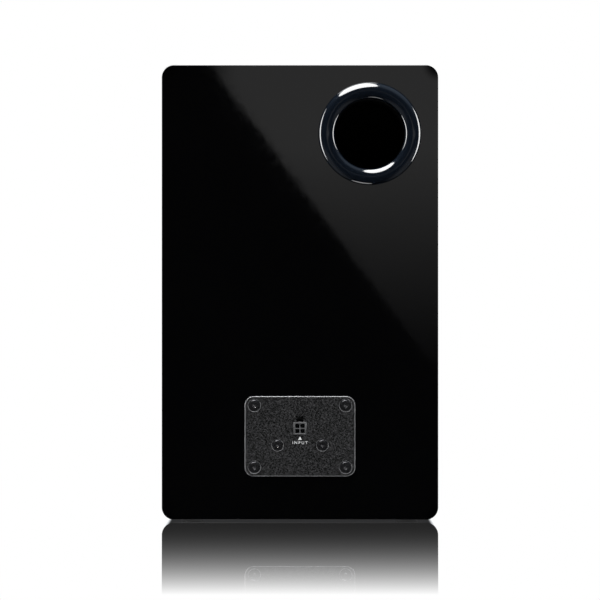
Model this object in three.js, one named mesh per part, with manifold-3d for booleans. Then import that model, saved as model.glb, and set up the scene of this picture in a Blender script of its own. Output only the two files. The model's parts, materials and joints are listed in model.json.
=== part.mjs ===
// Two-way ported bookshelf speaker, passive, fed through a four-way input socket on its rear plate.
// Millimetres, +Z up. The front, with the grille, faces -Y and the rear, with the port, faces +Y.
// The origin is at the centre of the footprint, on the surface that the feet stand on.

import * as THREE from "three";
import { mergeVertices } from "three/addons/utils/BufferGeometryUtils.js";
import Module from "manifold-3d";

const wasm = await Module();
wasm.setup();

// ---------------------------------------------------------------- driving dimensions

const ROUND = 24; // sides of a large round part
const SMALL_ROUND = 12; // sides of a foot, cup or peg
const SCREW_ROUND = 8; // sides of a screw
const FIT_GAP = 0.3; // clearance between a part and the seat that holds it

const FOOT = { radius: 8, thickness: 1, x: 78, setback: 22 };

const CABINET = { width: 200, height: 329, depth: 235, corner: 9, wall: 15 };
const BAFFLE_THICKNESS = 18;
const REAR_THICKNESS = 15;

const GRILLE = { depth: 12, margin: 2, corner: 7, cloth: 0.8, bar: 14, frame: 9, peg: 3.4, pegLength: 11 };
const PORT = {
  x: -50.5, // from the middle of the cabinet
  below: 49.6, // from the top of the cabinet
  throat: 25.5,
  lip: 4.5, // rounding from the face into the throat
  flange: 37.2,
  edge: 3.8, // rounding of the flange's rim
  proud: 4,
  spigot: 30,
  spigotLength: 32,
  wall: 2.5,
  length: 150,
  bell: 4.5, // rounding at the tube's inner end
};
const PLATE = { width: 80, height: 58, thickness: 1.5, corner: 6.5, above: 60.4, gasket: 0.5 };

const TOTAL_DEPTH = GRILLE.depth + CABINET.depth + PORT.proud;
const REAR_Y = TOTAL_DEPTH / 2 - PORT.proud;
const FRONT_Y = REAR_Y - CABINET.depth;
const INNER_REAR_Y = REAR_Y - REAR_THICKNESS;
const INNER_FRONT_Y = FRONT_Y + BAFFLE_THICKNESS;
const BASE_Z = FOOT.thickness;
const TOP_Z = BASE_Z + CABINET.height;
const MID_Z = (BASE_Z + TOP_Z) / 2;

const PORT_Z = TOP_Z - PORT.below;
const PLATE_Z = BASE_Z + PLATE.above;
const WOOFER = { z: 103, flange: 70, cutout: 60, recess: 4, screwCircle: 65.5 };
const TWEETER = { z: 240, flange: 50, cutout: 38, recess: 4, screwCircle: 44 };
const SCREW_TURNS = [45, 135, 225, 315]; // degrees round a driver's flange

const PEG_X = 89.5;
const PEG_ROWS = [22, 309];
const CUP = { lip: 7, lipThickness: 1, body: 5.5, bore: 3.8, depth: 12 };

const PLATE_SCREW = { x: 33, z: 22.4, head: 4.1, shank: 1.7, pilot: 2, plateHole: 2.2, gasketHole: 2.3 };
const SOCKET_SCREW = { x: 16.2, z: -6.4, head: 3.8, shank: 1.3, pilot: 1.65, plateHole: 1.8, length: 9 };
const SCREW_SEAT = 0.9; // depth of the dished seats in the terminal plate
const REAR_CUTOUT = { width: 54, height: 38, corner: 4 };
const SOCKET = {
  lift: 5.7, // from the middle of the plate
  width: 9.6,
  height: 9,
  depth: 12.6,
  proud: 0.2,
  cell: 3,
  cellDepth: 9.2,
  pitchX: 3.8,
  pitchZ: 3.7,
  boss: 4,
  bossDepth: 10,
};
const LATCH = { width: 5.2, height: 4.6, depth: 9.2 };

// ---------------------------------------------------------------- finishes

function finish(color, roughness, metalness = 0) {
  return new THREE.MeshStandardMaterial({ color, roughness, metalness });
}

const LACQUER = finish(0x050506, 0.05);
const FIBREBOARD = finish(0x8a6f4e, 0.9);
const GLOSS_PLASTIC = finish(0x0a0d12, 0.1);
const MATTE_PLASTIC = finish(0x141414, 0.6);
const TEXTURED_STEEL = finish(0x1c1d1e, 0.55, 0.4);
const BLACK_SCREW = finish(0x18181a, 0.3, 0.9);
const RUBBER = finish(0x111111, 0.8);
const FOAM = finish(0x202022, 0.95);
const TIN = finish(0xb9bcc0, 0.35, 1);
const CIRCUIT_BOARD = finish(0x1d3b26, 0.5);
const PLATED_STEEL = finish(0x9c9d9f, 0.35, 1);
const FERRITE = finish(0x2b2a2a, 0.7, 0.2);
const CAST_FRAME = finish(0x222325, 0.5, 0.6);
const CONE_PULP = finish(0x17171a, 0.55);
const COPPER = finish(0xa8622f, 0.3, 1);
const SPIDER_CLOTH = finish(0xb48b3c, 0.85);
const DOME_METAL = finish(0x9aa0a6, 0.25, 1);
const WADDING = finish(0xd9d6cc, 1);
const GRILLE_CLOTH = finish(0x0d0d0e, 0.95);
const CABLE_JACKET = finish(0x7a1f1c, 0.6);

// ---------------------------------------------------------------- geometry helpers

const speaker = new THREE.Group();

function add(name, geometry, material, x = 0, z = 0) {
  const mesh = new THREE.Mesh(geometry, material);
  mesh.name = name;
  mesh.position.set(x, 0, z);
  speaker.add(mesh);
}

function solid(geometry) {
  const bare = geometry.index ? geometry.toNonIndexed() : geometry.clone();
  bare.deleteAttribute("normal");
  bare.deleteAttribute("uv");
  const merged = mergeVertices(bare, 1e-4);
  return new wasm.Manifold(
    new wasm.Mesh({
      numProp: 3,
      vertProperties: new Float32Array(merged.attributes.position.array),
      triVerts: new Uint32Array(merged.index.array),
    }),
  );
}

function geometryOf(made) {
  const mesh = made.getMesh();
  const geometry = new THREE.BufferGeometry();
  geometry.setAttribute("position", new THREE.BufferAttribute(mesh.vertProperties, 3));
  geometry.setIndex(new THREE.BufferAttribute(mesh.triVerts, 1));
  return geometry;
}

function cut(geometry, tools) {
  return geometryOf(tools.reduce((left, tool) => left.subtract(solid(tool)), solid(geometry)));
}

function join(pieces) {
  return geometryOf(pieces.map(solid).reduce((whole, piece) => whole.add(piece)));
}

// A shape drawn in X and Z, filled from y0 to y1.
function extrudeY(shape, y0, y1, curveSegments = 6) {
  const geometry = new THREE.ExtrudeGeometry(shape, { depth: y1 - y0, bevelEnabled: false, curveSegments });
  return geometry.rotateX(Math.PI / 2).translate(0, y1, 0);
}

// A shape drawn in X and Y, filled from z0 to z1.
function extrudeZ(shape, z0, z1, curveSegments = 6) {
  const geometry = new THREE.ExtrudeGeometry(shape, { depth: z1 - z0, bevelEnabled: false, curveSegments });
  return geometry.translate(0, 0, z0);
}

function roundedRectangle(width, height, radius, x = 0, z = 0) {
  const [w, h] = [width / 2 - radius, height / 2 - radius];
  return new THREE.Shape()
    .absarc(x + w, z + h, radius, 0, Math.PI / 2)
    .absarc(x - w, z + h, radius, Math.PI / 2, Math.PI)
    .absarc(x - w, z - h, radius, Math.PI, 1.5 * Math.PI)
    .absarc(x + w, z - h, radius, 1.5 * Math.PI, 2 * Math.PI);
}

// A closed profile of [radius, y] points turned round the Y axis. Points run so that area is positive.
function turn(profile, sides = ROUND) {
  const closed = profile[0][0] > 0 ? [...profile, profile[0]] : profile;
  let area = 0;
  for (let i = 0; i < profile.length; i++) {
    const [a, b] = [profile[i], profile[(i + 1) % profile.length]];
    area += a[0] * b[1] - b[0] * a[1];
  }
  const points = closed.map(([radius, y]) => new THREE.Vector2(radius, y));
  return new THREE.LatheGeometry(area < 0 ? points.reverse() : points, sides);
}

function ring(inner, outer, y0, y1, sides = ROUND) {
  return turn([[inner, y0], [outer, y0], [outer, y1], [inner, y1]], sides);
}

function disc(radius, y0, y1, sides = ROUND) {
  return turn([[0, y0], [radius, y0], [radius, y1], [0, y1]], sides);
}

// Points of an arc in a profile, from one angle to another in degrees.
function arc(radius, y, size, from, to, steps) {
  return Array.from({ length: steps + 1 }, (_, i) => {
    const angle = THREE.MathUtils.degToRad(from + ((to - from) * i) / steps);
    return [radius + size * Math.cos(angle), y + size * Math.sin(angle)];
  });
}

function box(width, depth, height, x, y, z) {
  return new THREE.BoxGeometry(width, depth, height).translate(x, y, z);
}

// Where the screws of a driver stand: [x, z] from its axis.
function screwPlaces(circle) {
  return SCREW_TURNS.map((degrees) => {
    const angle = THREE.MathUtils.degToRad(degrees);
    return [circle * Math.cos(angle), circle * Math.sin(angle)];
  });
}

// A round-headed hex-socket screw along Y. The head is at the end that `outward` points to.
function screw({ headRadius, shankRadius, headBase, headHeight, crown, tip, outward }) {
  const headTop = headBase + outward * headHeight;
  const crest = headTop + outward * crown;
  const body = turn(
    [
      [0, tip],
      [shankRadius, tip + outward * shankRadius],
      [shankRadius, headBase],
      [headRadius, headBase],
      [headRadius, headTop],
      [0.55 * headRadius, crest],
      [0, crest],
    ],
    SCREW_ROUND,
  );
  const socketRadius = 0.42 * headRadius;
  const ends = [crest - outward * 1.1, crest + outward];
  return cut(body, [disc(socketRadius, Math.min(...ends), Math.max(...ends), 6)]);
}

// ---------------------------------------------------------------- cabinet

// One mitred wall seen from the end: a long board whose outer corners carry half of each rounded edge.
function wallShape(halfLength, outerFace, turnPoint) {
  const { corner, wall } = CABINET;
  const [u, v] = [halfLength - corner, outerFace - corner];
  const outline = new THREE.Shape()
    .absarc(-u, v, corner, 0.75 * Math.PI, 0.5 * Math.PI, true)
    .absarc(u, v, corner, 0.5 * Math.PI, 0.25 * Math.PI, true)
    .lineTo(halfLength - wall, outerFace - wall)
    .lineTo(wall - halfLength, outerFace - wall);
  return new THREE.Shape(outline.getPoints(3).map(turnPoint));
}

function addCabinet() {
  const [halfWidth, halfHeight] = [CABINET.width / 2, CABINET.height / 2];
  const walls = {
    top_panel: wallShape(halfWidth, halfHeight, ({ x, y }) => new THREE.Vector2(x, y)),
    bottom_panel: wallShape(halfWidth, halfHeight, ({ x, y }) => new THREE.Vector2(-x, -y)),
    right_side_panel: wallShape(halfHeight, halfWidth, ({ x, y }) => new THREE.Vector2(y, -x)),
    left_side_panel: wallShape(halfHeight, halfWidth, ({ x, y }) => new THREE.Vector2(-y, x)),
  };
  for (const [name, shape] of Object.entries(walls)) {
    add(name, extrudeY(shape, INNER_FRONT_Y, INNER_REAR_Y), LACQUER, 0, MID_Z);
  }
  add("front_baffle", frontBaffle(), LACQUER);
  add("rear_panel", rearPanel(), LACQUER);
  add("window_brace", windowBrace(), FIBREBOARD);
}

const endPanelShape = () => roundedRectangle(CABINET.width, CABINET.height, CABINET.corner, 0, MID_Z);

// The baffle's driver cut-outs are stepped, so that each driver's flange sits in a recess.
function frontBaffle() {
  const past = 1;
  const tools = [];
  for (const driver of [WOOFER, TWEETER]) {
    const recessFloor = FRONT_Y + driver.recess;
    tools.push(disc(driver.flange + 0.5, FRONT_Y - past, recessFloor).translate(0, 0, driver.z));
    tools.push(disc(driver.cutout, recessFloor - past, INNER_FRONT_Y + past).translate(0, 0, driver.z));
    for (const [x, z] of screwPlaces(driver.screwCircle)) {
      tools.push(disc(2, recessFloor - past, INNER_FRONT_Y + past, 8).translate(x, 0, driver.z + z));
    }
  }
  for (const [x, z] of pegPlaces()) {
    const hole = disc(CUP.body + FIT_GAP, FRONT_Y - past, FRONT_Y + CUP.depth + FIT_GAP, SMALL_ROUND);
    tools.push(hole.translate(x, 0, z));
  }
  return cut(extrudeY(endPanelShape(), FRONT_Y, INNER_FRONT_Y), tools);
}

function rearPanel() {
  const past = 1;
  const shape = endPanelShape();
  const { width, height, corner } = REAR_CUTOUT;
  shape.holes.push(roundedRectangle(width, height, corner, 0, PLATE_Z), ...platePilots(PLATE_SCREW.pilot));
  const portHole = disc(PORT.spigot + FIT_GAP, INNER_REAR_Y - past, REAR_Y + past);
  return cut(extrudeY(shape, INNER_REAR_Y, REAR_Y), [portHole.translate(PORT.x, 0, PORT_Z)]);
}

// Round holes for the four corner screws of the terminal plate.
function platePilots(radius) {
  return plateScrewPlaces().map(([x, z]) => new THREE.Path().absarc(x, PLATE_Z + z, radius, 0, 2 * Math.PI));
}

function plateScrewPlaces() {
  const { x, z } = PLATE_SCREW;
  return [[-x, z], [x, z], [-x, -z], [x, -z]];
}

// A shelf between the drivers that ties all four sides together, with a window for air and leads.
function windowBrace() {
  const thickness = 12;
  const lowFace = 180;
  const rim = 25;
  const halfWidth = CABINET.width / 2 - CABINET.wall;
  const depth = INNER_REAR_Y - INNER_FRONT_Y;
  const middleY = (INNER_REAR_Y + INNER_FRONT_Y) / 2;
  const shape = new THREE.Shape()
    .moveTo(-halfWidth, INNER_FRONT_Y)
    .lineTo(halfWidth, INNER_FRONT_Y)
    .lineTo(halfWidth, INNER_REAR_Y)
    .lineTo(-halfWidth, INNER_REAR_Y);
  shape.holes.push(roundedRectangle(2 * (halfWidth - rim), depth - 2 * rim, 15, 0, middleY));
  return extrudeZ(shape, lowFace, lowFace + thickness, 3);
}

function addFeet() {
  const rows = { front: FRONT_Y + FOOT.setback, rear: REAR_Y - FOOT.setback };
  for (const [row, y] of Object.entries(rows)) {
    for (const [side, sign] of [["left", -1], ["right", 1]]) {
      const pad = disc(FOOT.radius, 0, FOOT.thickness, SMALL_ROUND).rotateX(Math.PI / 2);
      add(`foot_${row}_${side}`, pad.translate(sign * FOOT.x, y, 0), RUBBER);
    }
  }
}

// ---------------------------------------------------------------- bass reflex port

function addPort() {
  const { throat, lip, flange, edge, proud, spigot, spigotLength, wall, length, bell } = PORT;
  const face = REAR_Y + proud;
  const spigotEnd = REAR_Y - spigotLength;
  const tubeSeat = INNER_REAR_Y + 1;
  const flareProfile = [
    ...arc(throat + lip, face - lip, lip, 180, 90, 4),
    ...arc(flange - edge, face - edge, edge, 90, 0, 3),
    [flange, REAR_Y],
    [spigot, REAR_Y],
    [spigot, spigotEnd],
    [throat + wall + FIT_GAP, spigotEnd],
    [throat + wall + FIT_GAP, tubeSeat],
    [throat, tubeSeat],
  ];
  add("port_flare", turn(flareProfile), GLOSS_PLASTIC, PORT.x, PORT_Z);

  const innerEnd = face - length;
  const tubeProfile = [
    [throat, tubeSeat - FIT_GAP],
    [throat, innerEnd + bell],
    ...arc(throat + bell, innerEnd + bell, bell, 180, 270, 2).slice(1),
    [throat + bell + wall, innerEnd],
    [throat + bell + wall, innerEnd + wall],
    ...arc(throat + bell + wall, innerEnd + wall + bell, bell, 270, 180, 2).slice(1),
    [throat + wall, tubeSeat - FIT_GAP],
  ];
  add("port_tube", turn(tubeProfile), MATTE_PLASTIC, PORT.x, PORT_Z);
}

// ---------------------------------------------------------------- terminal plate and input socket

function addTerminal() {
  const gasketFace = REAR_Y + PLATE.gasket;
  const plateFace = gasketFace + PLATE.thickness;

  const gasket = roundedRectangle(PLATE.width - 1, PLATE.height - 1, PLATE.corner - 0.5, 0, PLATE_Z);
  const { width, height, corner } = REAR_CUTOUT;
  gasket.holes.push(roundedRectangle(width, height, corner, 0, PLATE_Z));
  gasket.holes.push(...platePilots(PLATE_SCREW.gasketHole));
  add("terminal_gasket", extrudeY(gasket, REAR_Y, gasketFace, 3), FOAM);

  add("terminal_plate", terminalPlate(gasketFace, plateFace), TEXTURED_STEEL);

  const head = { headBase: plateFace - SCREW_SEAT, headHeight: 1.1, crown: 0.4, outward: 1 };
  const { head: cornerHead, shank: cornerShank } = PLATE_SCREW;
  plateScrewPlaces().forEach(([x, z], i) => {
    const made = screw({ ...head, headRadius: cornerHead, shankRadius: cornerShank, tip: INNER_REAR_Y - 1 });
    add(`plate_screw_${i + 1}`, made, BLACK_SCREW, x, PLATE_Z + z);
  });
  [-1, 1].forEach((side, i) => {
    const { head: headRadius, shank: shankRadius } = SOCKET_SCREW;
    const made = screw({ ...head, headRadius, shankRadius, tip: gasketFace - SOCKET_SCREW.length });
    add(`socket_screw_${i + 1}`, made, BLACK_SCREW, side * SOCKET_SCREW.x, PLATE_Z + SOCKET_SCREW.z);
  });

  addSocket(gasketFace - FIT_GAP, plateFace);
}

function terminalPlate(back, face) {
  const shape = roundedRectangle(PLATE.width, PLATE.height, PLATE.corner, 0, PLATE_Z);
  shape.holes.push(...platePilots(PLATE_SCREW.plateHole));
  for (const side of [-1, 1]) {
    const [x, z] = [side * SOCKET_SCREW.x, PLATE_Z + SOCKET_SCREW.z];
    shape.holes.push(new THREE.Path().absarc(x, z, SOCKET_SCREW.plateHole, 0, 2 * Math.PI));
  }
  const low = PLATE_Z + SOCKET.lift - SOCKET.height / 2 - FIT_GAP;
  const step = low + SOCKET.height + 2 * FIT_GAP;
  const high = step + LATCH.height;
  const [wide, narrow] = [SOCKET.width / 2 + FIT_GAP, LATCH.width / 2 + FIT_GAP];
  shape.holes.push(
    new THREE.Path()
      .moveTo(-wide, low)
      .lineTo(wide, low)
      .lineTo(wide, step)
      .lineTo(narrow, step)
      .lineTo(narrow, high)
      .lineTo(-narrow, high)
      .lineTo(-narrow, step)
      .lineTo(-wide, step),
  );
  const heads = [
    ...plateScrewPlaces().map(([x, z]) => [x, z, PLATE_SCREW.head]),
    ...[-1, 1].map((side) => [side * SOCKET_SCREW.x, SOCKET_SCREW.z, SOCKET_SCREW.head]),
  ];
  const seats = heads.map(([x, z, head]) => {
    const seat = disc(head + FIT_GAP, face - SCREW_SEAT, face + 1, SMALL_ROUND);
    return seat.translate(x, 0, PLATE_Z + z);
  });
  return cut(extrudeY(shape, back, face, 4), seats);
}

// The socket's shroud has four cells and, above them, a pocket for the plug's latch.
// Its flange is behind the plate.
function addSocket(flangeFace, plateFace) {
  const centreZ = PLATE_Z + SOCKET.lift;
  const rim = plateFace + SOCKET.proud;
  const boardFace = rim - SOCKET.depth;
  const shroudTop = centreZ + SOCKET.height / 2;
  const pocketWall = 1.4;
  const flange = { width: 44, height: 28, thickness: 3.7, lift: 2.5 };
  const flangeY = flangeFace - flange.thickness / 2;

  const body = join([
    box(SOCKET.width, SOCKET.depth, SOCKET.height, 0, rim - SOCKET.depth / 2, centreZ),
    box(
      LATCH.width + 2 * pocketWall,
      flangeFace - boardFace,
      LATCH.height + pocketWall + 1,
      0,
      (flangeFace + boardFace) / 2,
      shroudTop + (LATCH.height + pocketWall - 1) / 2,
    ),
    box(flange.width, flange.thickness, flange.height, 0, flangeY, PLATE_Z + flange.lift),
    ...[-1, 1].map((side) => {
      const boss = disc(SOCKET.boss, flangeFace - SOCKET.bossDepth, flangeFace - 1, SMALL_ROUND);
      return boss.translate(side * SOCKET_SCREW.x, 0, PLATE_Z + SOCKET_SCREW.z);
    }),
  ]);

  const pins = [-1, 1].flatMap((column) =>
    [1, -1].map((row) => [(column * SOCKET.pitchX) / 2, centreZ + (row * SOCKET.pitchZ) / 2]),
  );
  const pin = { side: 1, hole: 1.6, front: rim - 3.2, tail: boardFace - 3.1 };
  const cells = pins.flatMap(([x, z]) => [
    box(SOCKET.cell, SOCKET.cellDepth + 1, SOCKET.cell, x, rim - (SOCKET.cellDepth - 1) / 2, z),
    box(pin.hole, SOCKET.depth + 2, pin.hole, x, rim - SOCKET.depth / 2, z),
  ]);
  const pocket = box(
    LATCH.width,
    LATCH.depth + 1,
    LATCH.height,
    0,
    plateFace - (LATCH.depth - 1) / 2,
    shroudTop + LATCH.height / 2,
  );
  const screwHoles = [-1, 1].map((side) => {
    const hole = disc(SOCKET_SCREW.pilot, flangeFace - SOCKET.bossDepth - 1, flangeFace + 1, SCREW_ROUND);
    return hole.translate(side * SOCKET_SCREW.x, 0, PLATE_Z + SOCKET_SCREW.z);
  });
  const hollow = solid(cut(body, [...cells, pocket, ...screwHoles]));
  const latchCatch = solid(box(2.4, 2, 0.8, 0, plateFace - 3, shroudTop + 0.1));
  add("input_socket", geometryOf(hollow.add(latchCatch)), MATTE_PLASTIC);

  pins.forEach(([x, z], i) => {
    const length = pin.front - pin.tail;
    add(`contact_pin_${i + 1}`, box(pin.side, length, pin.side, x, pin.front - length / 2, z), TIN);
  });

  const board = { width: 40, height: 24, thickness: 1.6, lift: 2 };
  const boardBack = boardFace - FIT_GAP - board.thickness;
  const middle = boardBack + board.thickness / 2;
  const blank = box(board.width, board.thickness, board.height, 0, middle, PLATE_Z + board.lift);
  const pinHoles = pins.map(([x, z]) => box(pin.hole, 4, pin.hole, x, middle, z));
  add("connector_board", cut(blank, pinHoles), CIRCUIT_BOARD);
}

// ---------------------------------------------------------------- woofer

function addWoofer() {
  const place = [0, WOOFER.z];
  const seat = FRONT_Y + WOOFER.recess;
  const flangeFace = seat - 3.5;
  const ledge = flangeFace + 1;
  const spiderSeat = FRONT_Y + 29.5;
  const backPlate = FRONT_Y + 47;

  const frameProfile = [
    [WOOFER.flange, flangeFace],
    [WOOFER.flange, seat],
    [59.5, seat],
    [50.5, spiderSeat - 2],
    [46, spiderSeat + 1],
    [46, backPlate],
    [24, backPlate],
    [24, backPlate - 2.5],
    [43.5, backPlate - 2.5],
    [43.5, spiderSeat],
    [47.5, spiderSeat],
    [57, seat + 1],
    [57, ledge],
    [62, ledge],
    [62, flangeFace],
  ];
  const opening = { count: 6, width: 22, depth: 14, height: 40, y: spiderSeat - 13.5, fromAxis: 50 };
  const openings = Array.from({ length: opening.count }, (_, i) => {
    const tool = box(opening.width, opening.depth, opening.height, 0, opening.y, opening.fromAxis);
    return tool.rotateY(((i + 0.5) * 2 * Math.PI) / opening.count);
  });
  const screwSeats = screwPlaces(WOOFER.screwCircle).flatMap(([x, z]) => [
    disc(3.8, flangeFace - 1, flangeFace + 2, SMALL_ROUND).translate(x, 0, z),
    disc(2.1, flangeFace - 1, seat + 1, 8).translate(x, 0, z),
  ]);
  add("woofer_basket", cut(turn(frameProfile), [...openings, ...screwSeats]), CAST_FRAME, ...place);

  screwPlaces(WOOFER.screwCircle).forEach(([x, z], i) => {
    const made = screw({
      headRadius: 3.5,
      shankRadius: 1.7,
      headBase: flangeFace + 2,
      headHeight: 1.3,
      crown: 0.5,
      tip: INNER_FRONT_Y - 1,
      outward: -1,
    });
    add(`woofer_screw_${i + 1}`, made, BLACK_SCREW, x, WOOFER.z + z);
  });

  const trim = { inner: 58.5, proud: 2, edge: 1.5 };
  const edgeY = FRONT_Y - trim.proud + trim.edge;
  const trimProfile = [
    [trim.inner, flangeFace - 0.2],
    ...arc(trim.inner + trim.edge, edgeY, trim.edge, 180, 270, 2),
    ...arc(WOOFER.flange - trim.edge, edgeY, trim.edge, 270, 360, 2),
    [WOOFER.flange, flangeFace - 0.2],
  ];
  add("woofer_trim_ring", turn(trimProfile), RUBBER, ...place);

  const topPlate = [backPlate, backPlate + 6];
  const magnet = [topPlate[1], topPlate[1] + 16];
  add("woofer_top_plate", ring(17.8, 40, ...topPlate), PLATED_STEEL, ...place);
  add("woofer_magnet", ring(22, 45, ...magnet), FERRITE, ...place);
  const yokeProfile = [
    [0, topPlate[0] - 1],
    [15, topPlate[0] - 1],
    [15, magnet[1]],
    [40, magnet[1]],
    [40, magnet[1] + 6],
    [0, magnet[1] + 6],
  ];
  add("woofer_yoke", turn(yokeProfile), PLATED_STEEL, ...place);

  addWooferMovingParts(place, ledge, spiderSeat, topPlate);
}

function addWooferMovingParts(place, ledge, spiderSeat, topPlate) {
  const former = { inner: 15.7, outer: 16.2, front: FRONT_Y + 21, back: FRONT_Y + 55 };
  const winding = { outer: 17, from: topPlate[0] - 3, to: topPlate[1] + 1 };
  const coilProfile = [
    [former.inner, former.front],
    [former.outer, former.front],
    [former.outer, winding.from],
    [winding.outer, winding.from],
    [winding.outer, winding.to],
    [former.outer, winding.to],
    [former.outer, former.back],
    [former.inner, former.back],
  ];
  add("woofer_voice_coil", turn(coilProfile), COPPER, ...place);

  const cone = {
    neck: former.outer + FIT_GAP,
    neckY: FRONT_Y + 23,
    lip: 43.5,
    lipY: ledge + 0.2,
    rim: 46.2,
    thickness: 1,
  };
  const conePoint = (share) => [
    cone.neck + (cone.lip - cone.neck) * share,
    cone.neckY + (cone.lipY - cone.neckY) * Math.pow(share, 0.9),
  ];
  const shares = [0, 0.3, 0.65, 1];
  const front = shares.map(conePoint);
  const coneProfile = [
    ...front,
    [cone.rim, cone.lipY],
    [cone.rim, cone.lipY + cone.thickness],
    ...front.map(([r, y]) => [r, y + cone.thickness]).reverse(),
  ];
  add("woofer_cone", turn(coneProfile), CONE_PULP, ...place);

  const cap = { radius: 22, height: 7.6, thickness: 0.8 };
  const capFoot = conePoint((cap.radius - cone.neck) / (cone.lip - cone.neck))[1] - cap.thickness - FIT_GAP;
  const capSphere = (cap.radius ** 2 + cap.height ** 2) / (2 * cap.height);
  const capCentre = capFoot - cap.height + capSphere;
  const halfAngle = THREE.MathUtils.radToDeg(Math.asin(cap.radius / capSphere));
  const capProfile = [
    ...arc(0, capCentre, capSphere, 270, 270 + halfAngle, 4),
    ...arc(0, capCentre, capSphere - cap.thickness, 270 + 0.96 * halfAngle, 270, 4),
  ];
  capProfile[0][0] = 0;
  capProfile[capProfile.length - 1][0] = 0;
  add("woofer_dust_cap", turn(capProfile), CONE_PULP, ...place);

  const roll = { inner: 43.8, middle: 52, outer: 61.5, radius: 5.5, thickness: 0.8, y: ledge - 0.8 };
  const surroundProfile = [
    [roll.inner, roll.y],
    ...arc(roll.middle, roll.y, roll.radius, 180, 360, 5),
    [roll.outer, roll.y],
    [roll.outer, roll.y + roll.thickness],
    ...arc(roll.middle, roll.y + roll.thickness, roll.radius - roll.thickness, 360, 180, 5),
    [roll.inner, roll.y + roll.thickness],
  ];
  add("woofer_surround", turn(surroundProfile), RUBBER, ...place);

  const spider = {
    inner: former.outer + FIT_GAP,
    foot: 43.6,
    outer: 47.2,
    y: spiderSeat - 0.9,
    wave: 1.2,
    thickness: 0.6,
  };
  const spiderLine = [0, 1, -1, 1, -1, 0].map((side, i, folds) => {
    const r = spider.inner + ((spider.foot - spider.inner) * i) / (folds.length - 1);
    return [r, spider.y - spider.wave * side];
  });
  const spiderProfile = [
    ...spiderLine,
    [spider.outer, spider.y],
    [spider.outer, spider.y + spider.thickness],
    ...spiderLine.map(([r, y]) => [r, y + spider.thickness]).reverse(),
  ];
  add("woofer_spider", turn(spiderProfile), SPIDER_CLOTH, ...place);
}

// ---------------------------------------------------------------- tweeter

function addTweeter() {
  const place = [0, TWEETER.z];
  const seat = FRONT_Y + TWEETER.recess;
  const plateBack = seat + 5;
  const mouth = 36;
  const throat = 16.5;
  const throatY = FRONT_Y + 5.5;
  const dish = [0, 0.25, 0.5, 0.75, 1].map((share) => [
    throat + (mouth - throat) * share,
    throatY + (FRONT_Y - throatY) * Math.sin((share * Math.PI) / 2),
  ]);
  const faceProfile = [
    [throat, plateBack],
    ...dish,
    [TWEETER.flange, FRONT_Y],
    [TWEETER.flange, seat],
    [TWEETER.cutout - 0.5, seat],
    [TWEETER.cutout - 0.5, plateBack],
  ];
  const screwSeats = screwPlaces(TWEETER.screwCircle).flatMap(([x, z]) => [
    disc(3.6, FRONT_Y - 1, FRONT_Y + 2, SMALL_ROUND).translate(x, 0, z),
    disc(1.9, FRONT_Y - 1, seat + 1, 8).translate(x, 0, z),
  ]);
  add("tweeter_faceplate", cut(turn(faceProfile), screwSeats), MATTE_PLASTIC, ...place);

  screwPlaces(TWEETER.screwCircle).forEach(([x, z], i) => {
    const made = screw({
      headRadius: 3.3,
      shankRadius: 1.6,
      headBase: FRONT_Y + 2,
      headHeight: 1.4,
      crown: 0.4,
      tip: INNER_FRONT_Y - 1,
      outward: -1,
    });
    add(`tweeter_screw_${i + 1}`, made, BLACK_SCREW, x, TWEETER.z + z);
  });

  const topPlate = [plateBack + 0.5, plateBack + 4.5];
  const magnet = [topPlate[1], topPlate[1] + 11];
  add("tweeter_top_plate", ring(13.6, 30, ...topPlate), PLATED_STEEL, ...place);
  add("tweeter_magnet", ring(18, 36, ...magnet), FERRITE, ...place);
  const yokeProfile = [
    [0, topPlate[0]],
    [11.4, topPlate[0]],
    [11.4, magnet[1]],
    [32, magnet[1]],
    [32, magnet[1] + 4],
    [0, magnet[1] + 4],
  ];
  add("tweeter_yoke", turn(yokeProfile), PLATED_STEEL, ...place);

  addTweeterMovingParts(place, plateBack, topPlate);
}

function addTweeterMovingParts(place, plateBack, topPlate) {
  const dome = { radius: 12.5, height: 4.6, thickness: 0.4, y: plateBack - 3 };
  const sphere = (dome.radius ** 2 + dome.height ** 2) / (2 * dome.height);
  const centre = dome.y - dome.height + sphere;
  const halfAngle = THREE.MathUtils.radToDeg(Math.asin(dome.radius / sphere));
  const roll = { middle: 14.3, radius: 1.8 };
  const profile = [
    ...arc(0, centre, sphere, 270, 270 + halfAngle, 4),
    ...arc(roll.middle, dome.y, roll.radius, 180, 360, 3).slice(1),
    ...arc(roll.middle, dome.y + dome.thickness, roll.radius - dome.thickness, 360, 180, 3),
    ...arc(0, centre + dome.thickness, sphere, 270 + 0.96 * halfAngle, 270, 4),
  ];
  profile[0][0] = 0;
  profile[profile.length - 1][0] = 0;
  add("tweeter_dome", turn(profile), DOME_METAL, ...place);

  const coil = { inner: 12, former: 12.3, winding: 12.8, front: dome.y + dome.thickness + FIT_GAP };
  const coilProfile = [
    [coil.inner, coil.front],
    [coil.former, coil.front],
    [coil.former, topPlate[0] + 0.5],
    [coil.winding, topPlate[0] + 0.5],
    [coil.winding, topPlate[1] - 0.5],
    [coil.inner, topPlate[1] - 0.5],
  ];
  add("tweeter_voice_coil", turn(coilProfile), COPPER, ...place);
}

// ---------------------------------------------------------------- internal leads and wadding

// A lead is a tube along a smooth curve through its points.
function lead(points, radius, steps) {
  const path = new THREE.CatmullRomCurve3(points.map((p) => new THREE.Vector3(...p)));
  const section = new THREE.Shape().absarc(0, 0, radius, 0, 2 * Math.PI);
  const settings = { steps, extrudePath: path, bevelEnabled: false, curveSegments: 4 };
  return new THREE.ExtrudeGeometry(section, settings);
}

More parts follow.
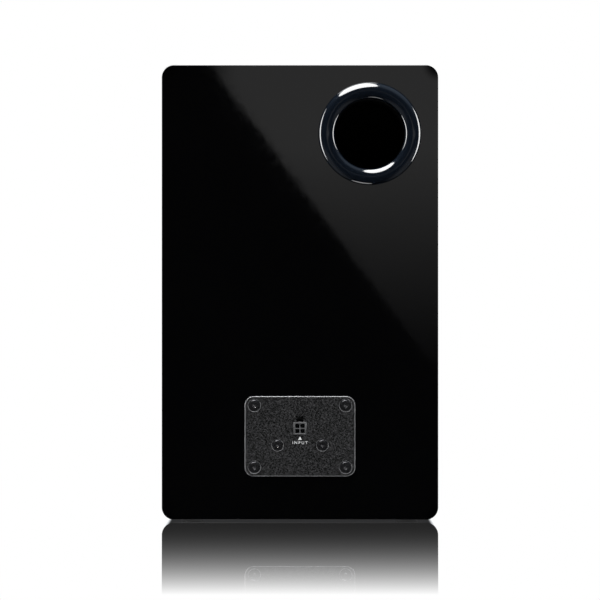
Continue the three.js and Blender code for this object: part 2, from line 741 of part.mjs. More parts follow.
function addInside() {
  const boardBack = REAR_Y - 14.5;
  const wooferRoute = [
    [9, boardBack, 57],
    [11, boardBack - 11.5, 54],
    [20, boardBack - 38, 48],
    [38, 20, 50],
    [50, -30, 66],
    [51, FRONT_Y + 51, 92],
    [50, FRONT_Y + 37, WOOFER.z],
    [47, FRONT_Y + 36, WOOFER.z],
  ];
  const tweeterRoute = [
    [-9, boardBack, 70],
    [-9, boardBack - 10.5, 74],
    [-8, boardBack - 24, 92],
    [-4, 60, 150],
    [0, 35, 186],
    [3, 0, 215],
    [6, -45, 231],
    [8, FRONT_Y + 41, 236],
    [8, FRONT_Y + 30, 236],
  ];
  const leadRadius = 2;
  add("woofer_lead", lead(wooferRoute, leadRadius, 24), CABLE_JACKET);
  add("tweeter_lead", lead(tweeterRoute, leadRadius, 28), CABLE_JACKET);

  const felt = 8;
  const halfWidth = CABINET.width / 2 - CABINET.wall;
  const floor = BASE_Z + CABINET.wall;
  const height = 150;
  const liner = new THREE.Shape()
    .moveTo(-halfWidth, floor)
    .lineTo(halfWidth, floor)
    .lineTo(halfWidth, floor + height)
    .lineTo(halfWidth - felt, floor + height)
    .lineTo(halfWidth - felt, floor + felt)
    .lineTo(felt - halfWidth, floor + felt)
    .lineTo(felt - halfWidth, floor + height)
    .lineTo(-halfWidth, floor + height);
  add("damping_liner", extrudeY(liner, INNER_FRONT_Y + 20, INNER_REAR_Y - 6), WADDING);
}

// ---------------------------------------------------------------- grille

function pegPlaces() {
  return PEG_ROWS.flatMap((z) => [[-PEG_X, z], [PEG_X, z]]);
}

function addGrille() {
  const face = FRONT_Y - GRILLE.depth;
  const clothBack = face + GRILLE.cloth;
  const frameFace = clothBack + FIT_GAP - 0.1;
  const frameBack = frameFace + GRILLE.frame;
  const [width, height] = [CABINET.width - 2 * GRILLE.margin, CABINET.height - 2 * GRILLE.margin];

  const tuck = GRILLE.cloth + FIT_GAP;
  const frame = roundedRectangle(width - 2 * tuck, height - 2 * tuck, GRILLE.corner - tuck, 0, MID_Z);
  const [openWidth, openCorner] = [width - 2 * (tuck + GRILLE.bar), 4];
  const openHalf = height / 2 - tuck - GRILLE.bar;
  const [openLow, openHigh] = [MID_Z - openHalf, MID_Z + openHalf];
  const crossBar = { low: 177, high: 187, thickness: 6 };
  frame.holes.push(roundedRectangle(openWidth, openHigh - openLow, openCorner, 0, (openHigh + openLow) / 2));
  const bars = [
    extrudeY(frame, frameFace, frameBack, 3),
    box(
      openWidth + 2,
      crossBar.thickness,
      crossBar.high - crossBar.low,
      0,
      frameFace + crossBar.thickness / 2,
      (crossBar.low + crossBar.high) / 2,
    ),
    ...pegPlaces().map(([x, z]) =>
      disc(GRILLE.peg, frameBack - 1, frameBack + GRILLE.pegLength, SMALL_ROUND).translate(x, 0, z),
    ),
  ];
  add("grille_frame", join(bars), MATTE_PLASTIC);

  const outer = extrudeY(roundedRectangle(width, height, GRILLE.corner, 0, MID_Z), face, frameBack - 0.5, 4);
  const hollow = roundedRectangle(
    width - 2 * GRILLE.cloth,
    height - 2 * GRILLE.cloth,
    GRILLE.corner - GRILLE.cloth,
    0,
    MID_Z,
  );
  add("grille_cloth", cut(outer, [extrudeY(hollow, clothBack, frameBack + 1, 4)]), GRILLE_CLOTH);

  const cupProfile = [
    [CUP.bore, FRONT_Y - CUP.lipThickness],
    [CUP.lip, FRONT_Y - CUP.lipThickness],
    [CUP.lip, FRONT_Y],
    [CUP.body, FRONT_Y],
    [CUP.body, FRONT_Y + CUP.depth],
    [0, FRONT_Y + CUP.depth],
    [0, FRONT_Y + CUP.depth - 1],
    [CUP.bore, FRONT_Y + CUP.depth - 1],
  ];
  const onAxisFirst = [...cupProfile.slice(6), ...cupProfile.slice(0, 6)];
  pegPlaces().forEach(([x, z], i) => {
    add(`grille_cup_${i + 1}`, turn(onAxisFirst, SMALL_ROUND), RUBBER, x, z);
  });
}

addCabinet();
addFeet();
addPort();
addTerminal();
addWoofer();
addTweeter();
addInside();
addGrille();

export default speaker;
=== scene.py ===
import json
import math

import bmesh
import bpy
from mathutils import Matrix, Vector
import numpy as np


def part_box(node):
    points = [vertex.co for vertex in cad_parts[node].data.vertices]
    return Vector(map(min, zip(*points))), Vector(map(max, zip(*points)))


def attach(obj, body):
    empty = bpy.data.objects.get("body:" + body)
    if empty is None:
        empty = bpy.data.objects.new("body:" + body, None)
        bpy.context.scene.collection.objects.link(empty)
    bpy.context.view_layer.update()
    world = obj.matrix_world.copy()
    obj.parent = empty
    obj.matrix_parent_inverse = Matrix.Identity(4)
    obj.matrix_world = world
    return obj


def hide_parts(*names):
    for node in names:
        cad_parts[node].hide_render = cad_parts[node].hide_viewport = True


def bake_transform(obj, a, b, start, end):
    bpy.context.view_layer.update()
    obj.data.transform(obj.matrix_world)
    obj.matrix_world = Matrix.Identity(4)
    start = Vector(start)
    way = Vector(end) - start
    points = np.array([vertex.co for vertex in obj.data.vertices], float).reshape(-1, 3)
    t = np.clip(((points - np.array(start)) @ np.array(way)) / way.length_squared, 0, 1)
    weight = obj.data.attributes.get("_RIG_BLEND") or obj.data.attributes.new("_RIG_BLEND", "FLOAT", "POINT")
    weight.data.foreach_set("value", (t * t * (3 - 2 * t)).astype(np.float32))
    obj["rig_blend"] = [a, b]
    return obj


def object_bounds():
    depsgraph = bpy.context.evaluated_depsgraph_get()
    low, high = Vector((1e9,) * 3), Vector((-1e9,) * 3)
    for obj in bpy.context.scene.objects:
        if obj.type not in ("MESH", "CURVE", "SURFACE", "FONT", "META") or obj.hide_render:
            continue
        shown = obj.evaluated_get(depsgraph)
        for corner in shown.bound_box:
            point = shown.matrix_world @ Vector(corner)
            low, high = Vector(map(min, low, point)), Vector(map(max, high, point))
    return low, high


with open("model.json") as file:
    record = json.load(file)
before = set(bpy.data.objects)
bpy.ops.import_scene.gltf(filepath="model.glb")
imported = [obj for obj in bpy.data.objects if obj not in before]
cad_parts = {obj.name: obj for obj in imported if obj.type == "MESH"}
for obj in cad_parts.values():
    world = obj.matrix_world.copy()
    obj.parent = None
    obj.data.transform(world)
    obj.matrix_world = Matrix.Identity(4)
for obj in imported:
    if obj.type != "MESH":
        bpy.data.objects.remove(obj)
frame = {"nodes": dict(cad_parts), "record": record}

CAD_LOW, CAD_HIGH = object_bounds()

MM = 0.001
TURN = 2 * math.pi

# ---------------------------------------------------------------- sizes and places

FINE = 96  # sides of a large round piece
MEDIUM = 48  # sides of a small round piece
PAST = 1 * MM  # how far a cutting tool reaches past the face it cuts
PILOT = 1.9 * MM  # radius of a screw's pilot hole

CABINET_CORNER = 9 * MM
CABINET_EASE = 0.3 * MM  # rounding all round the rear and front faces
WALL = 15 * MM

REAR_LOW, REAR_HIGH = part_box("rear_panel")
BAFFLE_LOW, BAFFLE_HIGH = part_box("front_baffle")
PLATE_LOW, PLATE_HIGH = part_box("terminal_plate")
FLARE_LOW, FLARE_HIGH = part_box("port_flare")
TUBE_LOW, TUBE_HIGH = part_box("port_tube")

REAR_Y = REAR_HIGH.y
FRONT_Y = BAFFLE_LOW.y
FLARE_AXIS = ((FLARE_LOW.x + FLARE_HIGH.x) / 2, (FLARE_LOW.z + FLARE_HIGH.z) / 2)
PLATE_MIDDLE = (PLATE_LOW + PLATE_HIGH) / 2


def middle_of(node):
    low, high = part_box(node)
    return (low + high) / 2


def axis_of(node):
    """Where a round node's own Y axis stands: x and z."""
    middle = middle_of(node)
    return middle.x, middle.z


# ---------------------------------------------------------------- camera

CAMERA_DISTANCE = 4.0  # from the rear panel
CAMERA_HEIGHT = 160 * MM
VIEW_WIDTH = 434.1 * MM  # seen across the rear panel


def add_camera():
    data = bpy.data.cameras.new("camera")
    data.sensor_width = 36
    data.lens = data.sensor_width * CAMERA_DISTANCE / VIEW_WIDTH
    camera = bpy.data.objects.new("camera", data)
    camera.location = (0, REAR_Y + CAMERA_DISTANCE, CAMERA_HEIGHT)
    camera.rotation_euler = (math.pi / 2, 0, math.pi)
    bpy.context.scene.collection.objects.link(camera)
    bpy.context.scene.camera = camera


# ---------------------------------------------------------------- modelling, as at the bench


def clear_selection():
    if bpy.context.object and bpy.context.object.mode != "OBJECT":
        bpy.ops.object.mode_set(mode="OBJECT")
    bpy.ops.object.select_all(action="DESELECT")


def take(piece):
    """Makes a piece the only one selected, and the active one."""
    clear_selection()
    piece.select_set(True)
    bpy.context.view_layer.objects.active = piece


def named(name):
    """Names the primitive that was just added, and puts its place into its mesh."""
    piece = bpy.context.object
    piece.name = piece.data.name = name
    bpy.ops.object.transform_apply(location=True, rotation=True, scale=True)
    return piece


def block(name, low, high):
    clear_selection()
    low, high = Vector(low), Vector(high)
    bpy.ops.mesh.primitive_cube_add(size=1, location=(low + high) / 2, scale=high - low)
    return named(name)


def rod(name, axis, radius, low_y, high_y, sides=FINE):
    clear_selection()
    bpy.ops.mesh.primitive_cylinder_add(
        vertices=sides,
        radius=radius,
        depth=high_y - low_y,
        location=(axis[0], (low_y + high_y) / 2, axis[1]),
        rotation=(math.pi / 2, 0, 0),
    )
    return named(name)


def turned(name, axis, profile, steps=FINE):
    """A profile of (radius, y) points is drawn by extruding a point, and spun round a Y axis.

    A profile that doesn't start on the axis is closed on itself first.
    """
    clear_selection()
    x, z = axis
    closed = profile if profile[0][0] == 0 else [*profile, profile[0]]
    points = [Vector((x + radius, y, z)) for radius, y in closed]
    bpy.ops.mesh.primitive_plane_add(size=MM, location=points[0])
    piece = named(name)
    bpy.ops.object.mode_set(mode="EDIT")
    bpy.ops.mesh.select_mode(type="VERT")
    bpy.ops.mesh.select_all(action="SELECT")
    bpy.ops.mesh.merge(type="CENTER")
    for start, end in zip(points, points[1:]):
        bpy.ops.mesh.extrude_vertices_move(TRANSFORM_OT_translate={"value": end - start})
    bpy.ops.mesh.select_all(action="SELECT")
    bpy.ops.mesh.spin(steps=steps, angle=TURN, center=(x, 0, z), axis=(0, 1, 0))
    close_seams()
    bpy.ops.object.mode_set(mode="OBJECT")
    return piece


def close_seams():
    """In edit mode: merges what lies together and turns the faces outwards."""
    bpy.ops.mesh.select_all(action="SELECT")
    bpy.ops.mesh.remove_doubles(threshold=2e-6)
    bpy.ops.mesh.normals_make_consistent(inside=False)


def arc(radius, y, across, along, start, end, steps):
    """Profile points on an ellipse round (radius, y), from one angle to another in degrees."""
    angles = [math.radians(start + (end - start) * i / steps) for i in range(steps + 1)]
    return [(radius + across * math.cos(a), y + along * math.sin(a)) for a in angles]


def choose(kind, test):
    """In edit mode: selects each face, edge or vertex that passes the test."""
    bpy.ops.mesh.select_mode(type=kind)
    bpy.ops.mesh.select_all(action="DESELECT")
    mesh = bmesh.from_edit_mesh(bpy.context.object.data)
    parts = {"VERT": mesh.verts, "EDGE": mesh.edges, "FACE": mesh.faces}[kind]
    for part in parts:
        if test(part):
            part.select_set(True)
    mesh.select_flush_mode()
    bmesh.update_edit_mesh(bpy.context.object.data)


def along(axis):
    """A test for edges that run along X (0), Y (1) or Z (2)."""

    def test(edge):
        direction = (edge.verts[1].co - edge.verts[0].co).normalized()
        return abs(direction[axis]) > 0.999

    return test


def lying_at(axis, place, near=1e-6):
    """A test for faces, edges or vertices all of whose points lie in one plane across an axis."""

    def test(part):
        points = getattr(part, "verts", None) or [part]
        return all(abs(point.co[axis] - place) < near for point in points)

    return test


def bevel(piece, test, offset, segments, profile=0.5):
    take(piece)
    bpy.ops.object.mode_set(mode="EDIT")
    choose("EDGE", test)
    bpy.ops.mesh.bevel(offset=offset, segments=segments, profile=profile, affect="EDGES")
    bpy.ops.object.mode_set(mode="OBJECT")


def modified(piece, kind, **settings):
    """Adds a modifier, sets it and applies it."""
    take(piece)
    bpy.ops.object.modifier_add(type=kind)
    modifier = piece.modifiers[-1]
    for setting, value in settings.items():
        setattr(modifier, setting, value)
    bpy.ops.object.modifier_apply(modifier=modifier.name)


def combined(piece, operation, others):
    """Cuts the others out of the piece, or joins them to it, and uses them up."""
    for other in others:
        modified(piece, "BOOLEAN", object=other, operation=operation, solver="EXACT")
        bpy.data.objects.remove(other)


def cut(piece, *tools):
    combined(piece, "DIFFERENCE", tools)


def joined(piece, *others):
    combined(piece, "UNION", others)


def smooth(piece, degrees=35, weighted=False):
    take(piece)
    bpy.ops.object.shade_smooth_by_angle(angle=math.radians(degrees))
    if weighted:
        modified(piece, "WEIGHTED_NORMAL", mode="FACE_AREA", weight=100, keep_sharp=True)


def copied(piece, name, shift):
    """A copy with its own mesh, moved over."""
    take(piece)
    bpy.ops.object.duplicate(linked=False)
    bpy.ops.transform.translate(value=shift)
    return named(name)


def installed(piece, slot, body, *nodes, finish=None):
    """Gives a piece the finish of its slot, or another, hides the nodes it stands for, and hangs it on the
    body it rides on.
    """
    piece.data.materials.clear()
    piece.data.materials.append(FINISHES[finish or slot])
    if nodes:
        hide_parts(*nodes)
    if body:
        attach(piece, body)


def install_set(first, name, node, ends, slot):
    """Copies a piece into the places of a row of nodes, whose names differ in their ends."""
    pieces = [first]
    for end in ends[1:]:
        shift = middle_of(f"{node}_{end}") - middle_of(f"{node}_{ends[0]}")
        pieces.append(copied(first, f"{name}_{end}", shift))
    for piece, end in zip(pieces, ends):
        installed(piece, slot, "cabinet", f"{node}_{end}")
    return pieces


def painted(piece, finish, test):
    """Gives the faces that pass the test a second finish, once the piece is installed."""
    piece.data.materials.append(FINISHES[finish])
    for face in piece.data.polygons:
        if test(face):
            face.material_index = 1


# ---------------------------------------------------------------- finishes


class Mix:
    """Shader nodes being laid out. Their patterns lie on `place`, in metres."""

    def __init__(self, tree, shader, coordinates):
        self.tree = tree
        self.shader = tree.nodes[shader]
        self.place = self.node("TexCoord").outputs[coordinates]

    def node(self, kind, **inputs):
        made = self.tree.nodes.new("ShaderNode" + kind)
        for socket, value in inputs.items():
            self.feed(made, socket.replace("_", " "), value)
        return made

    def feed(self, node, socket, value):
        if isinstance(value, bpy.types.NodeSocket):
            self.tree.links.new(value, node.inputs[socket])
        else:
            node.inputs[socket].default_value = value

    def set(self, socket, value):
        self.feed(self.shader, socket, value)

    def stretched(self, x, y, z):
        return self.node("Mapping", Vector=self.place, Scale=(x, y, z)).outputs["Vector"]

    def noise(self, size, detail=2.0, place=None):
        """Cloudy noise whose lumps are about `size` metres across."""
        made = self.node("TexNoise", Vector=place or self.place, Scale=1 / size, Detail=detail)
        return made.outputs["Fac"]

    def grains(self, size, place=None):
        """Packed grains about `size` metres apart."""
        made = self.node("TexVoronoi", Vector=place or self.place, Scale=1 / size)
        return made.outputs["Distance"]

    def waves(self, pitch, axis):
        """Parallel ridges, `pitch` metres apart, across X, Y or Z."""
        made = self.node("TexWave", Vector=self.place, Scale=TURN / 20 / pitch)
        made.bands_direction = axis
        return made.outputs["Fac"]

    def rings(self, pitch, axis):
        """Rings round an axis along Y, `pitch` metres apart."""
        centre = (-axis[0], 0, -axis[1])
        middle = self.node("Mapping", Vector=self.place, Location=centre).outputs["Vector"]
        made = self.node("TexWave", Vector=middle, Scale=TURN / 20 / pitch)
        made.wave_type = "RINGS"
        made.rings_direction = "Y"
        return made.outputs["Fac"]

    def sum(self, operation, a, b=0.0, c=0.0):
        made = self.tree.nodes.new("ShaderNodeMath")
        made.operation = operation
        for i, value in enumerate((a, b, c)):
            self.feed(made, i, value)
        return made.outputs[0]

    def between(self, value, low, high, to_low=0.0, to_high=1.0, ends="LINEAR"):
        made = self.node("MapRange", Value=value)
        made.interpolation_type = ends
        sockets = ("From Min", "From Max", "To Min", "To Max")
        for socket, number in zip(sockets, (low, high, to_low, to_high)):
            self.feed(made, socket, number)
        return made.outputs["Result"]

    def eased(self, value, low, high):
        """From 0 at `low` to 1 at `high`, with soft ends."""
        return self.between(value, low, high, ends="SMOOTHSTEP")

    def mix(self, share, first, second):
        """A colour between two, by a share from 0 to 1."""
        made = self.node("MixRGB", Fac=share)
        for socket, colour in (("Color1", first), ("Color2", second)):
            self.feed(made, socket, (*colour, 1) if isinstance(colour, tuple) else colour)
        return made.outputs["Color"]

    def bump(self, height, depth, strength=1.0):
        """Relief of `depth` metres."""
        made = self.node("Bump", Height=height, Distance=depth, Strength=strength)
        self.set("Normal", made.outputs["Normal"])
class Finish(Mix):
    """A material being mixed, on the piece's own coordinates."""

    def __init__(self, name, **sockets):
        self.material = bpy.data.materials.new(name)
        self.material.use_nodes = True
        super().__init__(self.material.node_tree, "Principled BSDF", "Object")
        for socket, value in sockets.items():
            self.set(socket.replace("_", " "), value)


def lacquer():
    """Black gloss, polished by hand. Its reflection is turned down near each board's four corners: painted
    shade.
    """
    f = Finish("piano_lacquer", Roughness=0.02, IOR=1.5)
    cloud = f.noise(0.06, 3)
    f.set("Base Color", f.mix(cloud, (0.0001, 0.0001, 0.00012), (0.0003, 0.0003, 0.00035)))
    f.set("Roughness", f.between(f.noise(0.004, 4), 0.3, 0.7, 0.012, 0.022))
    parts = f.node("SeparateXYZ", Vector=f.place).outputs
    middle, half = (REAR_LOW.z + REAR_HIGH.z) / 2, (REAR_HIGH.z - REAR_LOW.z) / 2
    up = f.sum("SUBTRACT", half, f.sum("ABSOLUTE", f.sum("SUBTRACT", parts["Z"], middle)))
    across = f.sum("SUBTRACT", REAR_HIGH.x, f.sum("ABSOLUTE", parts["X"]))
    to_corner = f.sum("SQRT", f.sum("ADD", f.sum("POWER", up, 2), f.sum("POWER", across, 2)))
    # Painted shade: full reflection away from the corners, turned down to about a tenth close to them.
    outside_corner_shade = f.eased(to_corner, 4.5 * MM, 13 * MM)
    f.set("Specular IOR Level", f.sum("MULTIPLY_ADD", outside_corner_shade, 0.45, 0.05))
    f.bump(f.noise(0.012, 1), 0.0000015)
    return f.material


def gloss_moulding():
    f = Finish("gloss_moulding", Roughness=0.06, IOR=1.5)
    f.set("Base Color", f.mix(f.noise(0.01, 3), (0.0009, 0.0014, 0.0024), (0.0014, 0.0022, 0.0036)))
    f.set("Roughness", f.between(f.noise(0.002, 4), 0.3, 0.7, 0.05, 0.09))
    return f.material


def matte_moulding(name="matte_moulding", dark=(0.006, 0.006, 0.0065), light=(0.012, 0.012, 0.013)):
    f = Finish(name, Roughness=0.5)
    grain = f.noise(0.0004, 3)
    f.set("Base Color", f.mix(grain, dark, light))
    f.set("Roughness", f.between(f.noise(0.003, 3), 0.3, 0.7, 0.42, 0.6))
    f.bump(grain, 0.00003)
    return f.material


def powder_coat():
    """Fine textured coat: pale flecks in a charcoal ground."""
    f = Finish("textured_coat", Roughness=0.5)
    grain = f.noise(0.0012, 4)
    fleck = f.between(f.noise(0.0014, 2), 0.48, 0.62)
    ground = f.mix(grain, (0.0006, 0.0006, 0.0006), (0.003, 0.003, 0.0031))
    f.set("Base Color", f.mix(fleck, ground, (0.009, 0.009, 0.0094)))
    f.set("Roughness", f.between(grain, 0.3, 0.7, 0.4, 0.6))
    f.set("Specular IOR Level", f.between(f.noise(0.0009, 1), 0.4, 0.62, 0.015, 0.25))
    f.bump(f.sum("ADD", grain, f.grains(0.0011)), 0.00012)
    return f.material


def painted_edge_highlight():
    """Lighter metal on the sharp edges and screw seats: a painted highlight of the light they catch."""
    f = Finish("painted_edge_highlight", Metallic=0.7, Roughness=0.4)
    f.set("Base Color", f.mix(f.noise(0.0012, 3), (0.09, 0.09, 0.094), (0.26, 0.26, 0.265)))
    return f.material


def black_steel():
    f = Finish("black_oxide", Metallic=0.9, Roughness=0.3)
    f.set("Base Color", f.mix(f.noise(0.0012, 3), (0.012, 0.012, 0.013), (0.035, 0.035, 0.037)))
    f.set("Roughness", f.between(f.noise(0.0008, 3), 0.3, 0.7, 0.22, 0.36))
    return f.material


def bare_metal(name, dark, light, roughness):
    f = Finish(name, Metallic=1.0, Roughness=roughness)
    f.set("Base Color", f.mix(f.noise(0.002, 4), dark, light))
    f.set("Roughness", f.between(f.noise(0.0007, 3), 0.3, 0.7, roughness - 0.06, roughness + 0.1))
    return f.material


def rubber():
    f = Finish("butyl_rubber", Roughness=0.6)
    f.set("Base Color", f.mix(f.noise(0.0007, 4), (0.007, 0.007, 0.0075), (0.016, 0.016, 0.017)))
    f.set("Roughness", f.between(f.noise(0.006, 3), 0.3, 0.7, 0.45, 0.7))
    f.bump(f.noise(0.0003, 2), 0.00002)
    return f.material


def foam():
    f = Finish("gasket_foam", Roughness=0.95)
    cells = f.grains(0.0006)
    f.set("Base Color", f.mix(cells, (0.008, 0.008, 0.008), (0.03, 0.03, 0.03)))
    f.bump(cells, 0.0002)
    return f.material


def fibreboard(name="fibreboard", dark=(0.14, 0.085, 0.045), light=(0.34, 0.23, 0.13)):
    f = Finish(name, Roughness=0.9)
    fibres = f.noise(0.0007, 6, f.stretched(1, 1, 3))
    f.set("Base Color", f.mix(fibres, dark, light))
    f.bump(fibres, 0.0001)
    return f.material


def circuit_board():
    f = Finish("circuit_board", Roughness=0.35)
    weave = f.sum("MULTIPLY", *(f.waves(0.0008, axis) for axis in "XZ"))
    f.set("Base Color", f.mix(weave, (0.006, 0.035, 0.014), (0.012, 0.06, 0.025)))
    f.bump(weave, 0.00003)
    return f.material


def ferrite():
    f = Finish("ferrite", Roughness=0.75)
    grain = f.noise(0.0012, 5)
    f.set("Base Color", f.mix(grain, (0.012, 0.011, 0.011), (0.04, 0.037, 0.036)))
    f.bump(grain, 0.0001)
    return f.material


def cast_frame():
    f = Finish("cast_frame", Metallic=0.4, Roughness=0.55)
    grain = f.noise(0.0008, 4)
    f.set("Base Color", f.mix(grain, (0.01, 0.01, 0.011), (0.03, 0.03, 0.032)))
    f.bump(grain, 0.00008)
    return f.material


def cone_pulp():
    """Pressed paper pulp: matted fibres with a faint coat."""
    f = Finish("cone_pulp", Roughness=0.6)
    fibres = f.noise(0.0016, 6)
    f.set("Base Color", f.mix(fibres, (0.006, 0.006, 0.007), (0.026, 0.026, 0.028)))
    f.bump(f.sum("ADD", fibres, f.noise(0.008, 2)), 0.0002)
    return f.material


def copper_winding():
    f = Finish("copper_winding", Metallic=1.0, Roughness=0.3)
    turns = f.waves(0.0004, "Y")
    f.set("Base Color", f.mix(turns, (0.35, 0.13, 0.05), (0.72, 0.36, 0.17)))
    f.bump(turns, 0.0001)
    return f.material


def spider_cloth():
    f = Finish("spider_cloth", Roughness=0.9)
    weave = f.sum("MULTIPLY", f.waves(0.0009, "X"), f.waves(0.0009, "Z"))
    f.set("Base Color", f.mix(weave, (0.30, 0.17, 0.05), (0.60, 0.40, 0.15)))
    f.bump(weave, 0.0001)
    return f.material


def dome_metal():
    """Drawn metal foil with faint turning marks."""
    f = Finish("dome_metal", Metallic=1.0, Roughness=0.28)
    marks = f.rings(0.0005, axis_of("tweeter_dome"))
    f.set("Base Color", f.mix(f.noise(0.003, 4), (0.42, 0.44, 0.47), (0.58, 0.6, 0.63)))
    f.set("Roughness", f.between(marks, 0, 1, 0.24, 0.34))
    f.bump(marks, 0.000004)
    return f.material


def wadding():
    f = Finish("wadding", Roughness=1.0)
    tufts = f.noise(0.004, 6)
    f.set("Base Color", f.mix(tufts, (0.42, 0.40, 0.36), (0.75, 0.72, 0.67)))
    f.set("Sheen Weight", 0.3)
    f.bump(tufts, 0.001)
    return f.material


def grille_cloth():
    """Acoustic knit: two crossing ribs, with the odd thicker yarn."""
    f = Finish("grille_cloth", Roughness=0.95)
    ribs = f.sum("MULTIPLY", f.waves(0.0016, "X"), f.waves(0.0016, "Z"))
    yarn = f.sum("MULTIPLY", ribs, f.between(f.noise(0.0012, 3), 0.25, 0.75, 0.6, 1.2))
    f.set("Base Color", f.mix(yarn, (0.002, 0.002, 0.0021), (0.012, 0.012, 0.0125)))
    f.set("Specular IOR Level", f.between(yarn, 0, 1, 0.03, 0.22))
    f.set("Sheen Weight", 0.02)
    f.bump(yarn, 0.0004)
    return f.material


def cable_jacket():
    """A twisted pair: a red and a black core laid round each other."""
    f = Finish("cable_jacket", Roughness=0.5)
    lay = f.sum("GREATER_THAN", f.waves(0.012, "DIAGONAL"), 0.5)
    f.set("Base Color", f.mix(lay, (0.25, 0.01, 0.01), (0.012, 0.012, 0.012)))
    f.bump(f.waves(0.006, "DIAGONAL"), 0.0003)
    return f.material


def white_print():
    f = Finish("white_print", Roughness=0.6)
    f.set("Base Color", f.mix(f.noise(0.0006, 3), (0.2, 0.2, 0.2), (0.32, 0.32, 0.32)))
    return f.material


FINISHES = {
    "cabinet_lacquer": lacquer(),
    "fibreboard": fibreboard(),
    "gloss_moulding": gloss_moulding(),
    "matte_moulding": matte_moulding(),
    "socket_moulding": matte_moulding("socket_moulding", (0.014, 0.014, 0.0145), (0.026, 0.026, 0.027)),
    "textured_steel": powder_coat(),
    "black_screw": black_steel(),
    "rubber": rubber(),
    "gasket_foam": foam(),
    "tinned_contact": bare_metal("tinned_contact", (0.45, 0.46, 0.48), (0.7, 0.71, 0.73), 0.3),
    "circuit_board": circuit_board(),
    "plated_steel": bare_metal("plated_steel", (0.38, 0.38, 0.39), (0.58, 0.58, 0.6), 0.3),
    "ferrite": ferrite(),
    "cast_frame": cast_frame(),
    "cone_pulp": cone_pulp(),
    "copper_winding": copper_winding(),
    "spider_cloth": spider_cloth(),
    "dome_metal": dome_metal(),
    "wadding": wadding(),
    "grille_cloth": grille_cloth(),
    "cable_jacket": cable_jacket(),
    # Second finishes, which no slot is named after.
    # A painted edge highlight for the plate's chamfers and seats.
    "painted_edge_highlight": painted_edge_highlight(),
    "white_print": white_print(),
    # A painted glint for the drilled bottoms of the screws' sockets.
    "socket_glint_steel": bare_metal("socket_glint_steel", (0.45, 0.45, 0.46), (0.65, 0.65, 0.66), 0.18),
    # A dark inner coat, and painted shade for the cabinet's dark inside.
    "dark_inner_board": fibreboard("dark_inner_board", (0.006, 0.0055, 0.005), (0.02, 0.018, 0.016)),
}


def finish_inner_parts():
    """The frame's own pieces keep their shape, and take the finish of their slot."""
    slot_of = {row["node"]: row["material_slot"] for row in frame["record"]["subparts"]}
    for name, node in frame["nodes"].items():
        node.data.materials.clear()
        node.data.materials.append(FINISHES[slot_of[name]])


# ---------------------------------------------------------------- studio


# Two points (x, z) of the slanted edge of the window, as the rear panel mirrors it. Its light
# falls off downwards, towards `dark_height`.
WINDOW = {
    "edge_high": (52 * MM, 311.5 * MM),
    "edge_low": (-99 * MM, 107.5 * MM),
    "blur": 1.5 * MM,
    "fade_in": (75 * MM, 45 * MM),
    "top": (365 * MM, 340 * MM),
    "dark_height": 90 * MM,
    "falloff": 1.5,
    "strength": 13.1,
}
STUDIO = {
    "dark": (0.013, 0.0135, 0.015),
    "window": (0.55, 0.55, 0.55),
    "ceiling": (0.12, 0.16, 0.22),
    "corner": (0.5, 0.62, 0.78),
    "horizon": (0.85, 0.87, 0.9),
    "bounce": (0.25, 0.26, 0.28),
}
WHITE = (1.0, 1.0, 1.0)


def build_world():
    """A dark studio with a pale horizon, and a window that the rear panel mirrors.

    A camera ray, or one off the perfect mirror of the floor, sees plain white.
    """
    world = bpy.data.worlds.new("studio")
    bpy.context.scene.world = world
    world.use_nodes = True
    f = Mix(world.node_tree, "Background", "Generated")
    parts = f.node("SeparateXYZ", Vector=f.place).outputs
    x, y, z = parts["X"], parts["Y"], parts["Z"]

    window = window_light(f, x, y, z)

    # A pale horizon beyond the front, a blue ceiling, and light that comes up off the floor.
    level = f.sum("MULTIPLY", f.eased(z, -0.02, 0.02), f.sum("SUBTRACT", 1, f.eased(z, 0.1, 0.45)))
    behind = f.sum("SUBTRACT", 1, f.eased(y, 0.0, 0.55))
    horizon = f.sum("MULTIPLY", level, behind)
    upper = f.sum("MULTIPLY", f.eased(z, 0.1, 0.9), f.sum("SUBTRACT", 1, f.eased(y, 0.6, 0.9)))
    to_corner = f.sum("MULTIPLY_ADD", x, -0.6, f.sum("MULTIPLY", z, 0.8))
    corner = f.sum("MULTIPLY", f.eased(to_corner, 0.3, 1.0), upper)
    down = f.eased(f.sum("MULTIPLY", z, -1), 0.06, 0.3)
    bounce = f.sum("MULTIPLY", down, f.eased(f.sum("ABSOLUTE", x), 0.25, 0.6))

    studio = f.mix(upper, STUDIO["dark"], STUDIO["ceiling"])
    studio = f.mix(corner, studio, STUDIO["corner"])
    studio = f.mix(bounce, studio, STUDIO["bounce"])
    studio = f.mix(horizon, studio, STUDIO["horizon"])
    studio = f.mix(window, studio, STUDIO["window"])
    path = f.node("LightPath").outputs
    plain = f.sum("MAXIMUM", path["Is Camera Ray"], path["Is Singular Ray"])
    f.set("Color", f.mix(plain, studio, WHITE))


